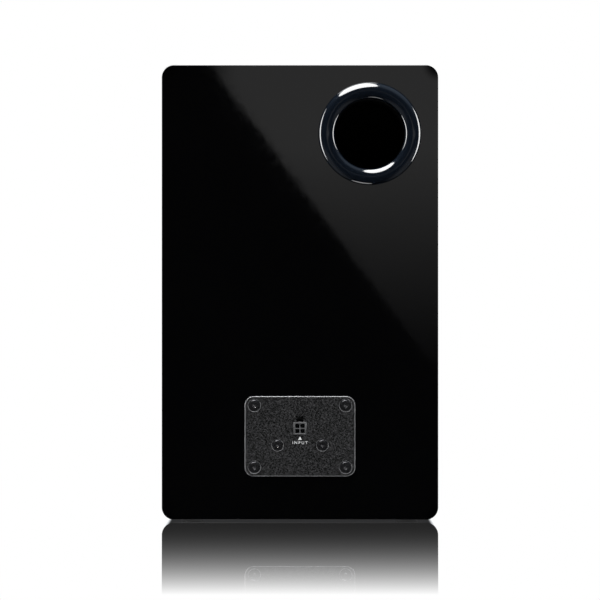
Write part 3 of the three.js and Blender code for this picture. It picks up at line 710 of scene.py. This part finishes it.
def window_light(f, x, y, z):
    """The window's share of a direction, drawn where the rear panel mirrors it, in metres on the panel."""
    ahead = f.sum("MAXIMUM", y, 0.05)
    panel_x = f.sum("MULTIPLY", f.sum("DIVIDE", x, ahead), CAMERA_DISTANCE)
    panel_z = f.sum("MULTIPLY_ADD", f.sum("DIVIDE", z, ahead), CAMERA_DISTANCE, CAMERA_HEIGHT)
    high, low = WINDOW["edge_high"], WINDOW["edge_low"]
    slope = Vector((low[1] - high[1], high[0] - low[0])).normalized()
    across = f.sum("MULTIPLY_ADD", panel_x, slope[0], -high[0] * slope[0])
    past_edge = f.sum("ADD", across, f.sum("MULTIPLY_ADD", panel_z, slope[1], -high[1] * slope[1]))
    lit = f.eased(past_edge, 0, WINDOW["blur"])
    fade_in = f.sum("MULTIPLY", f.eased(panel_x, *WINDOW["fade_in"]), f.eased(panel_z, *WINDOW["top"]))
    height = f.sum("SUBTRACT", panel_z, WINDOW["dark_height"])
    tone = f.sum("POWER", f.sum("MAXIMUM", height, 0), WINDOW["falloff"])
    glow = f.sum("MINIMUM", f.sum("MULTIPLY", tone, WINDOW["strength"]), 1)
    # The floor's mirror image of the panel is a second reflection, and leaves the window out.
    depth = f.node("LightPath").outputs["Ray Depth"]
    mirrored_once = f.sum("LESS_THAN", depth, 2.5)
    frontal = f.sum("MULTIPLY", f.eased(y, 0.9, 0.95), mirrored_once)
    return f.sum("MULTIPLY", f.sum("MULTIPLY", glow, lit), f.sum("MULTIPLY", fade_in, frontal))

def area_light(name, place, target, width, height, radiance, only_on=()):
    """A softbox that the camera doesn't see, facing a point. It may light only a few pieces."""
    data = bpy.data.lights.new(name, "AREA")
    data.shape = "ELLIPSE"
    data.size, data.size_y = width, height
    area = math.pi / 4 * width * height
    data.energy = radiance * math.pi * area
    light = bpy.data.objects.new(name, data)
    light.location = place
    light.rotation_mode = "QUATERNION"
    light.rotation_quaternion = (Vector(target) - Vector(place)).to_track_quat("-Z", "Y")
    light.visible_camera = False
    bpy.context.scene.collection.objects.link(light)
    if only_on:
        lit = bpy.data.collections.new(f"lit_by_{name}")
        for piece in only_on:
            lit.objects.link(bpy.data.objects[piece])
        light.light_linking.receiver_collection = lit


def add_lights():
    """One tall light over the rear, a strip each side for the rims, and small ones low and in front."""
    port = Vector((FLARE_AXIS[0], REAR_Y, FLARE_AXIS[1]))
    above = port + Vector((0.6, 1.35, 2.0))
    area_light("overhead", above, above - Vector((0, 0, 1)), 1.9, 3.7, 24)
    rims = ["port_flare_ring", "coated_plate"]
    for name, side in (("side_left", 1), ("side_right", -1)):
        beside = port + Vector((2.0 * side, -0.6, 0))
        area_light(name, beside, beside - Vector((side, 0, 0)), 2.6, 2.7, 18, rims)
    area_light("low", port + Vector((0.25, 0.05, -1.6)), port, 0.6, 0.7, 6)
    area_light("front_key", Vector((-1.6, -3.0, 2.2)), Vector((0, FRONT_Y, 0.17)), 1.8, 1.8, 7)


FLOOR_REACH = 30.0  # metres across
MIRROR_REACH = 1.0  # how far from the object the floor still mirrors
MIRROR_START = 0.157  # share of white close to the object, in display tones
MIRROR_FADE = 2.1  # how the share grows with distance, as a power
DISPLAY_GAMMA = 2.2


def add_floor():
    """A white floor, polished round the object. What it mirrors fades out with distance."""
    clear_selection()
    bpy.ops.mesh.primitive_plane_add(size=FLOOR_REACH, location=(0, 0, 0))
    floor = named("floor")
    f = Finish("polished_floor")
    parts = f.node("SeparateXYZ", Vector=f.place).outputs
    edges = [f.sum("SUBTRACT", f.sum("ABSOLUTE", parts["X"]), CAD_HIGH.x)]
    edges.append(f.sum("SUBTRACT", f.sum("ABSOLUTE", parts["Y"]), REAR_Y))
    squares = [f.sum("POWER", f.sum("MAXIMUM", edge, 0), 2) for edge in edges]
    distance = f.sum("SQRT", f.sum("ADD", *squares))
    share = f.sum("POWER", f.sum("MINIMUM", f.sum("DIVIDE", distance, MIRROR_REACH), 1), MIRROR_FADE)
    tone = f.sum("MULTIPLY_ADD", share, 1 - MIRROR_START, MIRROR_START)
    white = f.node("Emission", Color=(*WHITE, 1), Strength=1.0)
    mirror = f.node("BsdfAnisotropic", Color=(*WHITE, 1), Roughness=0.0)
    # Seen from well above, the floor is plain white.
    facing = f.node("LayerWeight").outputs["Facing"]
    steep = f.eased(f.sum("SUBTRACT", 1, facing), 0.32, 0.6)
    blend = f.node("MixShader", Fac=f.sum("MAXIMUM", f.sum("POWER", tone, DISPLAY_GAMMA), steep))
    f.tree.links.new(mirror.outputs[0], blend.inputs[1])
    f.tree.links.new(white.outputs[0], blend.inputs[2])
    f.tree.links.new(blend.outputs[0], f.tree.nodes["Material Output"].inputs["Surface"])
    floor.data.materials.append(f.material)
    floor.visible_glossy = False


# ---------------------------------------------------------------- cabinet


def add_cabinet():
    """The lacquered carcass: one box, hollowed from the front, with its rear openings cut."""
    low = Vector((REAR_LOW.x, BAFFLE_HIGH.y, REAR_LOW.z))
    shell = block("cabinet_shell", low, REAR_HIGH)
    bevel(shell, along(1), CABINET_CORNER, 12)
    bevel(shell, lying_at(1, REAR_HIGH.y), CABINET_EASE, 6)
    take(shell)
    bpy.ops.object.mode_set(mode="EDIT")
    choose("FACE", lying_at(1, low.y))
    bpy.ops.mesh.inset(thickness=WALL)
    depth = REAR_LOW.y - low.y
    bpy.ops.mesh.extrude_region_move(TRANSFORM_OT_translate={"value": (0, depth, 0)})
    bpy.ops.object.mode_set(mode="OBJECT")
    spigot_hole, half_width, half_height = 30.3 * MM, 27 * MM, 19 * MM
    inside, outside = REAR_LOW.y - PAST, REAR_HIGH.y + PAST
    opening = block("opening", (-half_width, inside, PLATE_MIDDLE.z - half_height),
                    (half_width, outside, PLATE_MIDDLE.z + half_height))
    bevel(opening, along(1), 4 * MM, 4)
    tools = [rod("hole", FLARE_AXIS, spigot_hole, inside, outside), opening]
    for i in range(4):
        tools.append(rod("pilot", axis_of(f"plate_screw_{i + 1}"), PILOT, inside, outside, 16))
    cut(shell, *tools)
    smooth(shell, 35, weighted=True)
    installed(shell, "cabinet_lacquer", "cabinet", "top_panel", "bottom_panel",
              "left_side_panel", "right_side_panel", "rear_panel")
    reach_x, reach_low, reach_high = REAR_HIGH.x - WALL, REAR_LOW.z + WALL, REAR_HIGH.z - WALL
    near = 0.1 * MM

    def bare(face):
        """Inside the walls, where the lacquer stops. The board there is near black: a dark coat, and painted
        shade for the dark seen through the port.
        """
        x, y, z = face.center
        within = abs(x) < reach_x + near and reach_low - near < z < reach_high + near
        return within and y < REAR_HIGH.y - near

    # Partly painted shade: the inside faces are near black, so the port shows dark.
    painted(shell, "dark_inner_board", bare)


# Radii of each driver's recess in the baffle, of the hole through it and of its ring of screws.
DRIVERS = {"woofer": (70.5 * MM, 60 * MM, 65.5 * MM), "tweeter": (50.5 * MM, 38 * MM, 44 * MM)}
RECESS_DEPTH = 4 * MM


def add_baffle():
    """The front board, recessed for both drivers and drilled for their screws and the grille's cups."""
    board = block("baffle_board", BAFFLE_LOW, BAFFLE_HIGH)
    bevel(board, along(1), CABINET_CORNER, 12)
    bevel(board, lying_at(1, FRONT_Y), CABINET_EASE, 6)
    floor = FRONT_Y + RECESS_DEPTH
    tools = []
    for driver, (recess, hole, circle) in DRIVERS.items():
        axis = axis_of(f"{driver}_magnet")
        tools.append(rod("recess", axis, recess, FRONT_Y - PAST, floor))
        tools.append(rod("hole", axis, hole, floor - PAST, BAFFLE_HIGH.y + PAST))
        for i in range(4):
            turn = math.radians(45 + 90 * i)
            place = (axis[0] + circle * math.cos(turn), axis[1] + circle * math.sin(turn))
            tools.append(rod("pilot", place, PILOT, floor - PAST, BAFFLE_HIGH.y + PAST, 16))
    cup_hole, cup_gap = 5.7 * MM, 0.2 * MM
    for i in range(4):
        cup = f"grille_cup_{i + 1}"
        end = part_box(cup)[1].y + cup_gap
        tools.append(rod("cup_hole", axis_of(cup), cup_hole, FRONT_Y - PAST, end, 32))
    cut(board, *tools)
    smooth(board, 35, weighted=True)
    installed(board, "cabinet_lacquer", "cabinet", "front_baffle")
    near = 0.1 * MM

    def bare(face):
        """The near-black back of the board and the walls of its holes behind the recesses: a dark coat, and
        painted shade for the cabinet's dark inside.
        """
        x, y, z = face.center
        within = abs(x) < REAR_HIGH.x - PAST and REAR_LOW.z + PAST < z < REAR_HIGH.z - PAST
        return within and y > floor + near

    # Partly painted shade: the inside faces of the board are near black.
    painted(board, "dark_inner_board", bare)


def add_feet():
    """Soft pads with a rounded rim."""
    first = middle_of("foot_front_left")
    radius, height = 8 * MM, 1 * MM
    clear_selection()
    bpy.ops.mesh.primitive_cylinder_add(
        vertices=MEDIUM, radius=radius, depth=height, location=(first.x, first.y, height / 2)
    )
    pad = named("pad_front_left")
    bevel(pad, lying_at(2, 0), 0.35 * MM, 3)
    smooth(pad, 35)
    install_set(pad, "pad", "foot", ["front_left", "front_right", "rear_left", "rear_right"], "rubber")


# ---------------------------------------------------------------- bass reflex port


def add_port():
    """A bull-nosed flare: the crest stands proud of the panel and rolls over into the throat."""
    rim, crest, throat = 37.2 * MM, 31.3 * MM, 25.5 * MM
    face = FLARE_HIGH.y
    outer_roll = arc(crest, REAR_Y, rim - crest, face - REAR_Y, 0, 90, 14)
    inner_depth = 3.4 * MM
    inner_roll = arc(crest, face - inner_depth, crest - throat, inner_depth, 90, 180, 14)[1:]
    spigot, bore = 30 * MM, 28.3 * MM
    step = REAR_LOW.y + PAST
    profile = [
        (rim, REAR_Y), *outer_roll[1:], *inner_roll, (throat, step), (bore, step), (bore, FLARE_LOW.y),
        (spigot, FLARE_LOW.y), (spigot, REAR_Y),
    ]
    ring = turned("port_flare_ring", FLARE_AXIS, profile, 128)
    smooth(ring, 40)
    installed(ring, "gloss_moulding", "cabinet", "port_flare")

    wall, bell = 2.5 * MM, 4.5 * MM
    mouth, inner_end = TUBE_HIGH.y, TUBE_LOW.y
    profile = [
        (throat, mouth),
        *arc(throat + bell, inner_end + bell, bell, bell, 180, 270, 8),
        (throat + bell + wall, inner_end),
        *arc(throat + bell + wall, inner_end + wall + bell, bell, bell, 270, 180, 8),
        (throat + wall, mouth),
    ]
    tube = turned("port_tube_liner", FLARE_AXIS, profile, FINE)
    smooth(tube, 40)
    installed(tube, "matte_moulding", "cabinet", "port_tube")


# ---------------------------------------------------------------- terminal plate and input socket

SOCKET = {
    "half_width": 4.8 * MM,
    "low": PLATE_MIDDLE.z + 1.2 * MM,
    "high": PLATE_MIDDLE.z + 10.2 * MM,
    "latch_half_width": 2.6 * MM,
    "latch_high": PLATE_MIDDLE.z + 14.8 * MM,
    "cell": 3 * MM,
    "cell_depth": 9.2 * MM,
}
SOCKET_GAP = 0.3 * MM  # all round the socket in the plate's window, and behind the plate


def add_plate():
    """A pressed plate with eased edges, dished seats for its screws and a stepped window for the socket."""
    face = PLATE_HIGH.y
    plate = block("coated_plate", PLATE_LOW, PLATE_HIGH)
    bevel(plate, along(1), 6.5 * MM, 10)
    bevel(plate, lying_at(1, face), 0.5 * MM, 2)
    seat, edge = 0.9 * MM, 0.4 * MM
    tools = []
    heads = {f"plate_screw_{i + 1}": 4.4 * MM for i in range(4)}
    heads.update({f"socket_screw_{i + 1}": 4.1 * MM for i in range(2)})
    for node, radius in heads.items():
        profile = [
            (0, face - seat), (radius, face - seat), (radius, face - edge),
            (radius + edge + PAST, face + PAST), (0, face + PAST),
        ]
        tools.append(turned("seat", axis_of(node), profile, MEDIUM))
        tools.append(rod("pilot", axis_of(node), 2 * MM, PLATE_LOW.y - PAST, face, 24))
    wide, narrow = SOCKET["half_width"] + SOCKET_GAP, SOCKET["latch_half_width"] + SOCKET_GAP
    low, step = SOCKET["low"] - SOCKET_GAP, SOCKET["high"] + SOCKET_GAP
    high = SOCKET["latch_high"] + SOCKET_GAP
    behind, before = PLATE_LOW.y - PAST, face + PAST
    tools.append(block("window", (-wide, behind, low), (wide, before, step)))
    tools.append(block("latch_window", (-narrow, behind, step - PAST), (narrow, before, high)))
    cut(plate, *tools)
    smooth(plate, 30, weighted=True)
    installed(plate, "textured_steel", "cabinet", "terminal_plate")
    # Painted highlight: the plate's chamfers and screw seats get lighter metal.
    painted(plate, "painted_edge_highlight", lambda part: 0.15 < part.normal.y < 0.97)


def add_socket():
    """The socket's housing: four cells and a latch pocket behind the plate's window."""
    low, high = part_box("input_socket")
    face = PLATE_HIGH.y
    flange_face = PLATE_LOW.y - SOCKET_GAP
    half, latch = SOCKET["half_width"], SOCKET["latch_half_width"]
    housing = block("socket_housing", (-half, low.y, SOCKET["low"]), (half, high.y, SOCKET["high"]))
    wall, flange_depth = 1.4 * MM, 3.7 * MM
    pocket_wall = block("pocket_wall", (-latch - wall, low.y, SOCKET["high"] - PAST),
                        (latch + wall, flange_face, SOCKET["latch_high"] + wall))
    flange = block("flange", (low.x, flange_face - flange_depth, low.z), (high.x, flange_face, high.z))
    axes = [axis_of(f"socket_screw_{i}") for i in (1, 2)]
    boss_end = flange_face - 10 * MM
    bosses = [rod("boss", axis, 4 * MM, boss_end, flange_face - PAST, 32) for axis in axes]
    joined(housing, pocket_wall, flange, *bosses)
    cell, pin_hole = SOCKET["cell"] / 2, 0.8 * MM
    cell_floor = high.y - SOCKET["cell_depth"]
    tools = []
    for i in range(4):
        x, z = axis_of(f"contact_pin_{i + 1}")
        tools.append(block("cell", (x - cell, cell_floor, z - cell), (x + cell, high.y + PAST, z + cell)))
        bevel(tools[-1], along(1), 0.35 * MM, 3)
        tools.append(block("pin_hole", (x - pin_hole, low.y - PAST, z - pin_hole),
                           (x + pin_hole, high.y, z + pin_hole)))
    tools.append(block("pocket", (-latch, face - SOCKET["cell_depth"], SOCKET["high"]),
                       (latch, face + PAST, SOCKET["latch_high"])))
    tools += [rod("pilot", axis, 1.65 * MM, boss_end - PAST, flange_face + PAST, 24) for axis in axes]
    cut(housing, *tools)
    rounding = math.radians(60)
    modified(housing, "BEVEL", width=0.12 * MM, segments=2, limit_method="ANGLE", angle_limit=rounding)
    joined(housing, latch_catch(face))
    smooth(housing, 35)
    installed(housing, "socket_moulding", "cabinet", "input_socket")


def latch_catch(face):
    """The sloped nib in the pocket that a plug's latch snaps over."""
    catch = block("catch", (-1.2 * MM, face - 4 * MM, SOCKET["high"] - 0.3 * MM),
                  (1.2 * MM, face - 2 * MM, SOCKET["high"] + 0.5 * MM))
    runs_across = along(0)

    def leading(edge):
        corner = edge.verts[0].co
        return runs_across(edge) and corner.y > face - 3 * MM and corner.z > SOCKET["high"]

    bevel(catch, leading, 0.6 * MM, 1)
    return catch


def add_contacts():
    """Square pins with a four-sided lead-in at the tip."""
    low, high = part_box("contact_pin_1")
    pin = block("contact_blade_1", low, high)
    bevel(pin, lying_at(1, high.y), 0.3 * MM, 1)
    bevel(pin, along(1), 0.08 * MM, 2)
    smooth(pin, 30)
    install_set(pin, "contact_blade", "contact_pin", [1, 2, 3, 4], "tinned_contact")


# A screw's hexagon socket ends in a drilled cone: where the cone starts below the crest, and its tip.
HEXAGON_DEPTH = 0.9 * MM
DRILLED = (0.85 * MM, 1.45 * MM)


def socket_head_screw(name, node, facing):
    """A button-headed screw with a hexagon socket, in the place of a plain one.

    `facing` is 1 where the head is to the rear, and -1 where it is to the front.
    """
    low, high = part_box(node)
    axis = axis_of(node)
    radius = (high.x - low.x) / 2
    crest, tip = (high.y, low.y) if facing > 0 else (low.y, high.y)
    base = crest - facing * 1.5 * MM
    shank = 0.42 * radius
    shoulder = base + facing * 0.45 * MM
    flat = 0.8 * radius
    thread_pitch = 0.7 * MM
    thread = []
    place = tip + facing * 2 * shank
    while (base - place) * facing > thread_pitch:
        thread += [(0.82 * shank, place), (shank, place + facing * thread_pitch / 2)]
        place += facing * thread_pitch
    dish, dish_floor = 0.4 * radius, crest - facing * 0.3 * MM
    profile = [
        (0, tip), *thread, (shank, base), (radius, base), (radius, shoulder),
        *arc(flat, shoulder, radius - flat, crest - shoulder, 0, facing * 90, 8)[1:],
        (0.43 * radius, crest), (dish, crest - facing * 0.12 * MM), (dish, dish_floor), (0, dish_floor),
    ]
    screw = turned(name, axis, profile, 32)
    ends = sorted((crest - facing * HEXAGON_DEPTH, crest + facing * PAST))
    drilled_top, drilled_tip = (crest - facing * depth for depth in DRILLED)
    drilled = [(0, drilled_tip), (0.37 * radius, drilled_top), (0, drilled_top)]
    cut(screw, rod("hexagon", axis, 0.39 * radius, *ends, 6), turned("drilled_bottom", axis, drilled, 24))
    smooth(screw, 35)
    return screw


def socket_glint(screw, node, facing):
    """The drilled bottom of a screw's socket is light bare steel: a painted glint where the recess catches
    the light.
    """
    low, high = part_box(node)
    axis = axis_of(node)
    crest = high.y if facing > 0 else low.y

    def drilled(face):
        from_axis = math.hypot(face.center.x - axis[0], face.center.z - axis[1])
        deep = (crest - face.center.y) * facing
        return from_axis < 0.19 * (high.x - low.x) and 0.8 * MM < deep < 2 * MM

    # Painted highlight: light steel in the drilled cone makes the glint low in the recess.
    painted(screw, "socket_glint_steel", drilled)


def add_screw_set(name, node, count, facing):
    first = socket_head_screw(f"{name}_1", f"{node}_1", facing)
    numbers = range(1, count + 1)
    for number, screw in zip(numbers, install_set(first, name, node, numbers, "black_screw")):
        socket_glint(screw, f"{node}_{number}", facing)


def add_legend():
    """A plain arrow to the socket, and the word for what it is."""
    face = PLATE_HIGH.y
    ink = 0.03 * MM
    clear_selection()
    upright = (math.pi / 2, 0, math.pi)
    bpy.ops.object.text_add(rotation=upright, location=(0, face, PLATE_MIDDLE.z - 5.6 * MM))
    text = bpy.context.object.data
    text.body = "INPUT"
    text.align_x = "CENTER"
    text.size = 2.9 * MM
    text.space_character = 1.5
    text.extrude = ink
    bpy.ops.object.convert(target="MESH")
    word = named("legend_word")
    arrow = rod("legend_arrow", (0, PLATE_MIDDLE.z - 1.7 * MM), 1.5 * MM, face - ink, face + ink, 3)
    bevel(arrow, along(1), 0.2 * MM, 2)
    for piece in (word, arrow):
        installed(piece, "textured_steel", "cabinet", finish="white_print")
# ---------------------------------------------------------------- drivers


def blended(piece, axis, inner, outer):
    """The piece's outer rim stays on the cabinet, and its inner edge goes with the cone."""
    # A blend runs along a line. This one is laid out again by radius, with soft ends.
    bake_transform(piece, "cabinet", "woofer_cone", start=(0, 0, 0), end=(0, 0, 1))
    attribute = piece.data.attributes["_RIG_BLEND"]
    for vertex, row in zip(piece.data.vertices, attribute.data):
        radius = math.hypot(vertex.co.x - axis[0], vertex.co.z - axis[1])
        share = min(max((outer - radius) / (outer - inner), 0), 1)
        row.value = share * share * (3 - 2 * share)


def back_of(line, thick):
    """The rear side of a thin wall, whose front is a profile line: its points in the other order."""
    return [(radius, y + thick) for radius, y in reversed(line)]


def cap_sphere(radius, height):
    """Radius of the sphere that a cap is cut from, and the angle from its tip to its rim in degrees."""
    sphere = (radius**2 + height**2) / (2 * height)
    return sphere, math.degrees(math.asin(radius / sphere))


INNER_REACH = 0.96  # how far round a cap's inside goes, as a share of its outside


def add_trim_ring(axis):
    low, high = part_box("woofer_trim_ring")
    outer, inner = (high.x - low.x) / 2, 58.5 * MM
    ease = 1.5 * MM
    profile = [
        (inner, high.y), *arc(inner + ease, low.y + ease, ease, ease, 180, 270, 6),
        *arc(outer - ease, low.y + ease, ease, ease, 270, 360, 6), (outer, high.y),
    ]
    trim = turned("woofer_trim", axis, profile, FINE)
    smooth(trim, 40)
    installed(trim, "rubber", "cabinet", "woofer_trim_ring")


def add_surround(axis):
    """A half roll between the cone's rim and the frame."""
    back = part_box("woofer_surround")[1].y
    middle, roll, wall = 52 * MM, 5.5 * MM, 0.8 * MM
    inner, outer = 43.8 * MM, 61.5 * MM
    foot = back - wall
    profile = [
        (inner, foot), *arc(middle, foot, roll, roll, 180, 360, 20), (outer, foot), (outer, back),
        *arc(middle, back, roll - wall, roll - wall, 360, 180, 20), (inner, back),
    ]
    surround = turned("woofer_roll_surround", axis, profile, FINE)
    smooth(surround, 40)
    installed(surround, "rubber", None, "woofer_surround")
    blended(surround, axis, middle - roll, middle + roll)


def add_cone(axis):
    """Slightly flared from the neck to a flat lip."""
    low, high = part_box("woofer_cone")
    lip, rim, neck = 43.5 * MM, 46.2 * MM, 16.5 * MM
    thick, steps, flare = 1 * MM, 16, 0.9
    lip_y, neck_y = low.y, high.y - thick
    front = []
    for i in range(steps + 1):
        share = i / steps
        front.append((neck + (lip - neck) * share, neck_y + (lip_y - neck_y) * share**flare))
    profile = [*front, (rim, lip_y), (rim, lip_y + thick), *back_of(front, thick)]
    cone = turned("pressed_cone", axis, profile, FINE)
    smooth(cone, 40)
    installed(cone, "cone_pulp", "woofer_cone", "woofer_cone")


def add_dust_cap(axis):
    """A thin cap bowed to the front, over the cone's neck."""
    low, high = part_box("woofer_dust_cap")
    wall = 0.8 * MM
    sphere, reach = cap_sphere((high.x - low.x) / 2, high.y - low.y)
    middle = low.y + sphere
    outside = arc(0, middle, sphere, sphere, 270, 270 + reach, 14)
    inside = arc(0, middle, sphere - wall, sphere - wall, 270 + INNER_REACH * reach, 270, 14)
    profile = [(0, outside[0][1]), *outside[1:], *inside[:-1], (0, inside[-1][1])]
    cap = turned("dust_cap", axis, profile, MEDIUM)
    smooth(cap, 40)
    installed(cap, "cone_pulp", "woofer_cone", "woofer_dust_cap")


def add_spider(axis):
    """A corrugated cloth disc behind the cone, glued down round its rim."""
    low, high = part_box("woofer_spider")
    inner, foot, outer = 16.5 * MM, 43.6 * MM, 47.2 * MM
    waves, wave, thick, steps = 5, 1.2 * MM, 0.6 * MM, 60
    rest = (low.y + high.y - thick) / 2
    line = []
    for i in range(steps + 1):
        share = i / steps
        line.append((inner + (foot - inner) * share, rest - wave * math.sin(share * waves * math.pi)))
    profile = [*line, (outer, rest), (outer, rest + thick), *back_of(line, thick)]
    spider = turned("corrugated_spider", axis, profile, FINE)
    smooth(spider, 40)
    installed(spider, "spider_cloth", None, "woofer_spider")
    blended(spider, axis, inner, foot)


def add_woofer():
    axis = axis_of("woofer_magnet")
    add_trim_ring(axis)
    add_surround(axis)
    add_cone(axis)
    add_dust_cap(axis)
    add_spider(axis)


def add_tweeter_plate(axis):
    """A faceplate dished to the dome, with counterbored screw holes."""
    low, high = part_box("tweeter_faceplate")
    face, back = low.y, high.y
    throat, mouth, flange = 16.5 * MM, 36 * MM, 50 * MM
    depth, steps = 5.5 * MM, 12
    dish = []
    for i in range(steps + 1):
        share = i / steps
        dish.append((throat + (mouth - throat) * share, face + depth * (1 - math.sin(share * math.pi / 2))))
    ease = 0.6 * MM
    spigot = 37.5 * MM
    seat = FRONT_Y + RECESS_DEPTH
    profile = [
        (throat, back), *dish, *arc(flange - ease, face + ease, ease, ease, 270, 360, 4),
        (flange, seat), (spigot, seat), (spigot, back),
    ]
    plate = turned("tweeter_plate", axis, profile, FINE)
    tools = []
    for i in range(4):
        place = axis_of(f"tweeter_screw_{i + 1}")
        tools.append(rod("seat", place, 3.6 * MM, face - PAST, face + 2 * MM, 32))
        tools.append(rod("pilot", place, PILOT, face - PAST, seat + PAST, 24))
    cut(plate, *tools)
    smooth(plate, 30, weighted=True)
    installed(plate, "matte_moulding", "cabinet", "tweeter_faceplate")


def add_tweeter_dome(axis):
    """A metal dome in a narrow rubber roll."""
    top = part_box("tweeter_dome")[0].y
    radius, roll, wall = 12.5 * MM, 1.8 * MM, 0.4 * MM
    height = 4.6 * MM
    rim_y = top + height
    sphere, reach = cap_sphere(radius, height)
    middle = top + sphere
    profile = [
        (0, top), *arc(0, middle, sphere, sphere, 270, 270 + reach, 16)[1:],
        *arc(radius + roll, rim_y, roll, roll, 180, 360, 10)[1:],
        *arc(radius + roll, rim_y + wall, roll - wall, roll - wall, 360, 180, 10),
        *arc(0, middle + wall, sphere, sphere, 270 + INNER_REACH * reach, 270, 16)[:-1], (0, top + wall),
    ]
    dome = turned("metal_dome", axis, profile, FINE)
    smooth(dome, 40)
    installed(dome, "dome_metal", "tweeter_dome", "tweeter_dome")

    def rolled(face):
        return math.hypot(face.center.x - axis[0], face.center.z - axis[1]) > radius

    painted(dome, "rubber", rolled)


def add_tweeter():
    axis = axis_of("tweeter_magnet")
    add_tweeter_plate(axis)
    add_tweeter_dome(axis)


# ---------------------------------------------------------------- felt


def add_liner():
    """Felt along the floor and both sides, uneven and soft at its edges."""
    low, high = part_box("damping_liner")
    felt, past = 8 * MM, 2 * MM
    liner = block("felt_liner", low, high)
    cut(liner, block("room", (low.x + felt, low.y - past, low.z + felt),
                     (high.x - felt, high.y + past, high.z + past)))
    modified(liner, "REMESH", mode="VOXEL", voxel_size=2.5 * MM)
    modified(liner, "SMOOTH", factor=0.5, iterations=4)
    tufts = bpy.data.textures.new("tufts", "CLOUDS")
    tufts.noise_scale = 14 * MM
    tufts.noise_depth = 3
    modified(liner, "DISPLACE", texture=tufts, texture_coords="LOCAL", strength=1.6 * MM, mid_level=1.0)
    take(liner)
    bpy.ops.object.shade_smooth()
    installed(liner, "wadding", "cabinet", "damping_liner")


# ---------------------------------------------------------------- grille


def add_grille_frame():
    """A moulded frame with a cross bar, and four pegs with rounded tips."""
    low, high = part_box("grille_frame")
    back = low.y + 9 * MM
    bar = 14 * MM
    bars = block("grille_bars", low, (high.x, back, high.z))
    bevel(bars, along(1), 5.9 * MM, 8)
    hole = block("hole", (low.x + bar, low.y - PAST, low.z + bar), (high.x - bar, back + PAST, high.z - bar))
    bevel(hole, along(1), 4 * MM, 6)
    cut(bars, hole)
    rounding = math.radians(60)
    modified(bars, "BEVEL", width=0.8 * MM, segments=3, limit_method="ANGLE", angle_limit=rounding)
    cross = block("cross_bar", (low.x + bar - PAST, low.y + 0.3 * MM, 177 * MM),
                  (high.x - bar + PAST, low.y + 6 * MM, 187 * MM))
    bevel(cross, along(0), 1 * MM, 3)
    radius, tip = 3.4 * MM, 1 * MM
    profile = [
        (0, back - PAST), (radius, back - PAST), *arc(radius - tip, high.y - tip, tip, tip, 0, 90, 5),
        (0, high.y),
    ]
    pegs = [turned("peg", axis_of(f"grille_cup_{i + 1}"), profile, 32) for i in range(4)]
    joined(bars, cross, *pegs)
    smooth(bars, 35, weighted=True)
    installed(bars, "matte_moulding", "grille", "grille_frame")


def add_grille_cloth():
    """Cloth stretched over the frame and wrapped round its sides, soft at every edge."""
    low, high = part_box("grille_cloth")
    cloth = block("stretched_cloth", low, high)
    bevel(cloth, along(1), 7 * MM, 8)
    bevel(cloth, lying_at(1, low.y), 2 * MM, 5)
    take(cloth)
    bpy.ops.object.mode_set(mode="EDIT")
    choose("FACE", lying_at(1, high.y))
    bpy.ops.mesh.delete(type="ONLY_FACE")
    bpy.ops.object.mode_set(mode="OBJECT")
    modified(cloth, "SOLIDIFY", thickness=0.7 * MM, offset=-1)
    smooth(cloth, 40, weighted=True)
    installed(cloth, "grille_cloth", "grille", "grille_cloth")


def add_cups():
    """Rubber cups in the baffle, which grip the pegs."""
    low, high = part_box("grille_cup_1")
    lip, body, bore = 7 * MM, 5.5 * MM, 3.8 * MM
    floor, ease, lead_in, chamfer = high.y - 1 * MM, 0.6 * MM, 0.5 * MM, 1 * MM
    profile = [
        (0, floor), (bore, floor), (bore, low.y + lead_in), (bore + lead_in, low.y),
        *arc(lip - ease, low.y + ease, ease, ease, 270, 360, 4), (lip, FRONT_Y), (body, FRONT_Y),
        (body, high.y - chamfer), (body - chamfer, high.y), (0, high.y),
    ]
    first = turned("peg_cup_1", axis_of("grille_cup_1"), profile, MEDIUM)
    smooth(first, 40)
    install_set(first, "peg_cup", "grille_cup", [1, 2, 3, 4], "rubber")


add_camera()
finish_inner_parts()
add_cabinet()
add_baffle()
add_feet()
add_port()
add_plate()
add_socket()
add_contacts()
add_screw_set("plate_button_screw", "plate_screw", 4, 1)
add_screw_set("socket_button_screw", "socket_screw", 2, 1)
add_legend()
add_woofer()
add_tweeter()
add_screw_set("tweeter_button_screw", "tweeter_screw", 4, -1)
add_liner()
add_grille_frame()
add_grille_cloth()
add_cups()
add_floor()
add_lights()
build_world()
bpy.context.scene.view_settings.view_transform = "Standard"
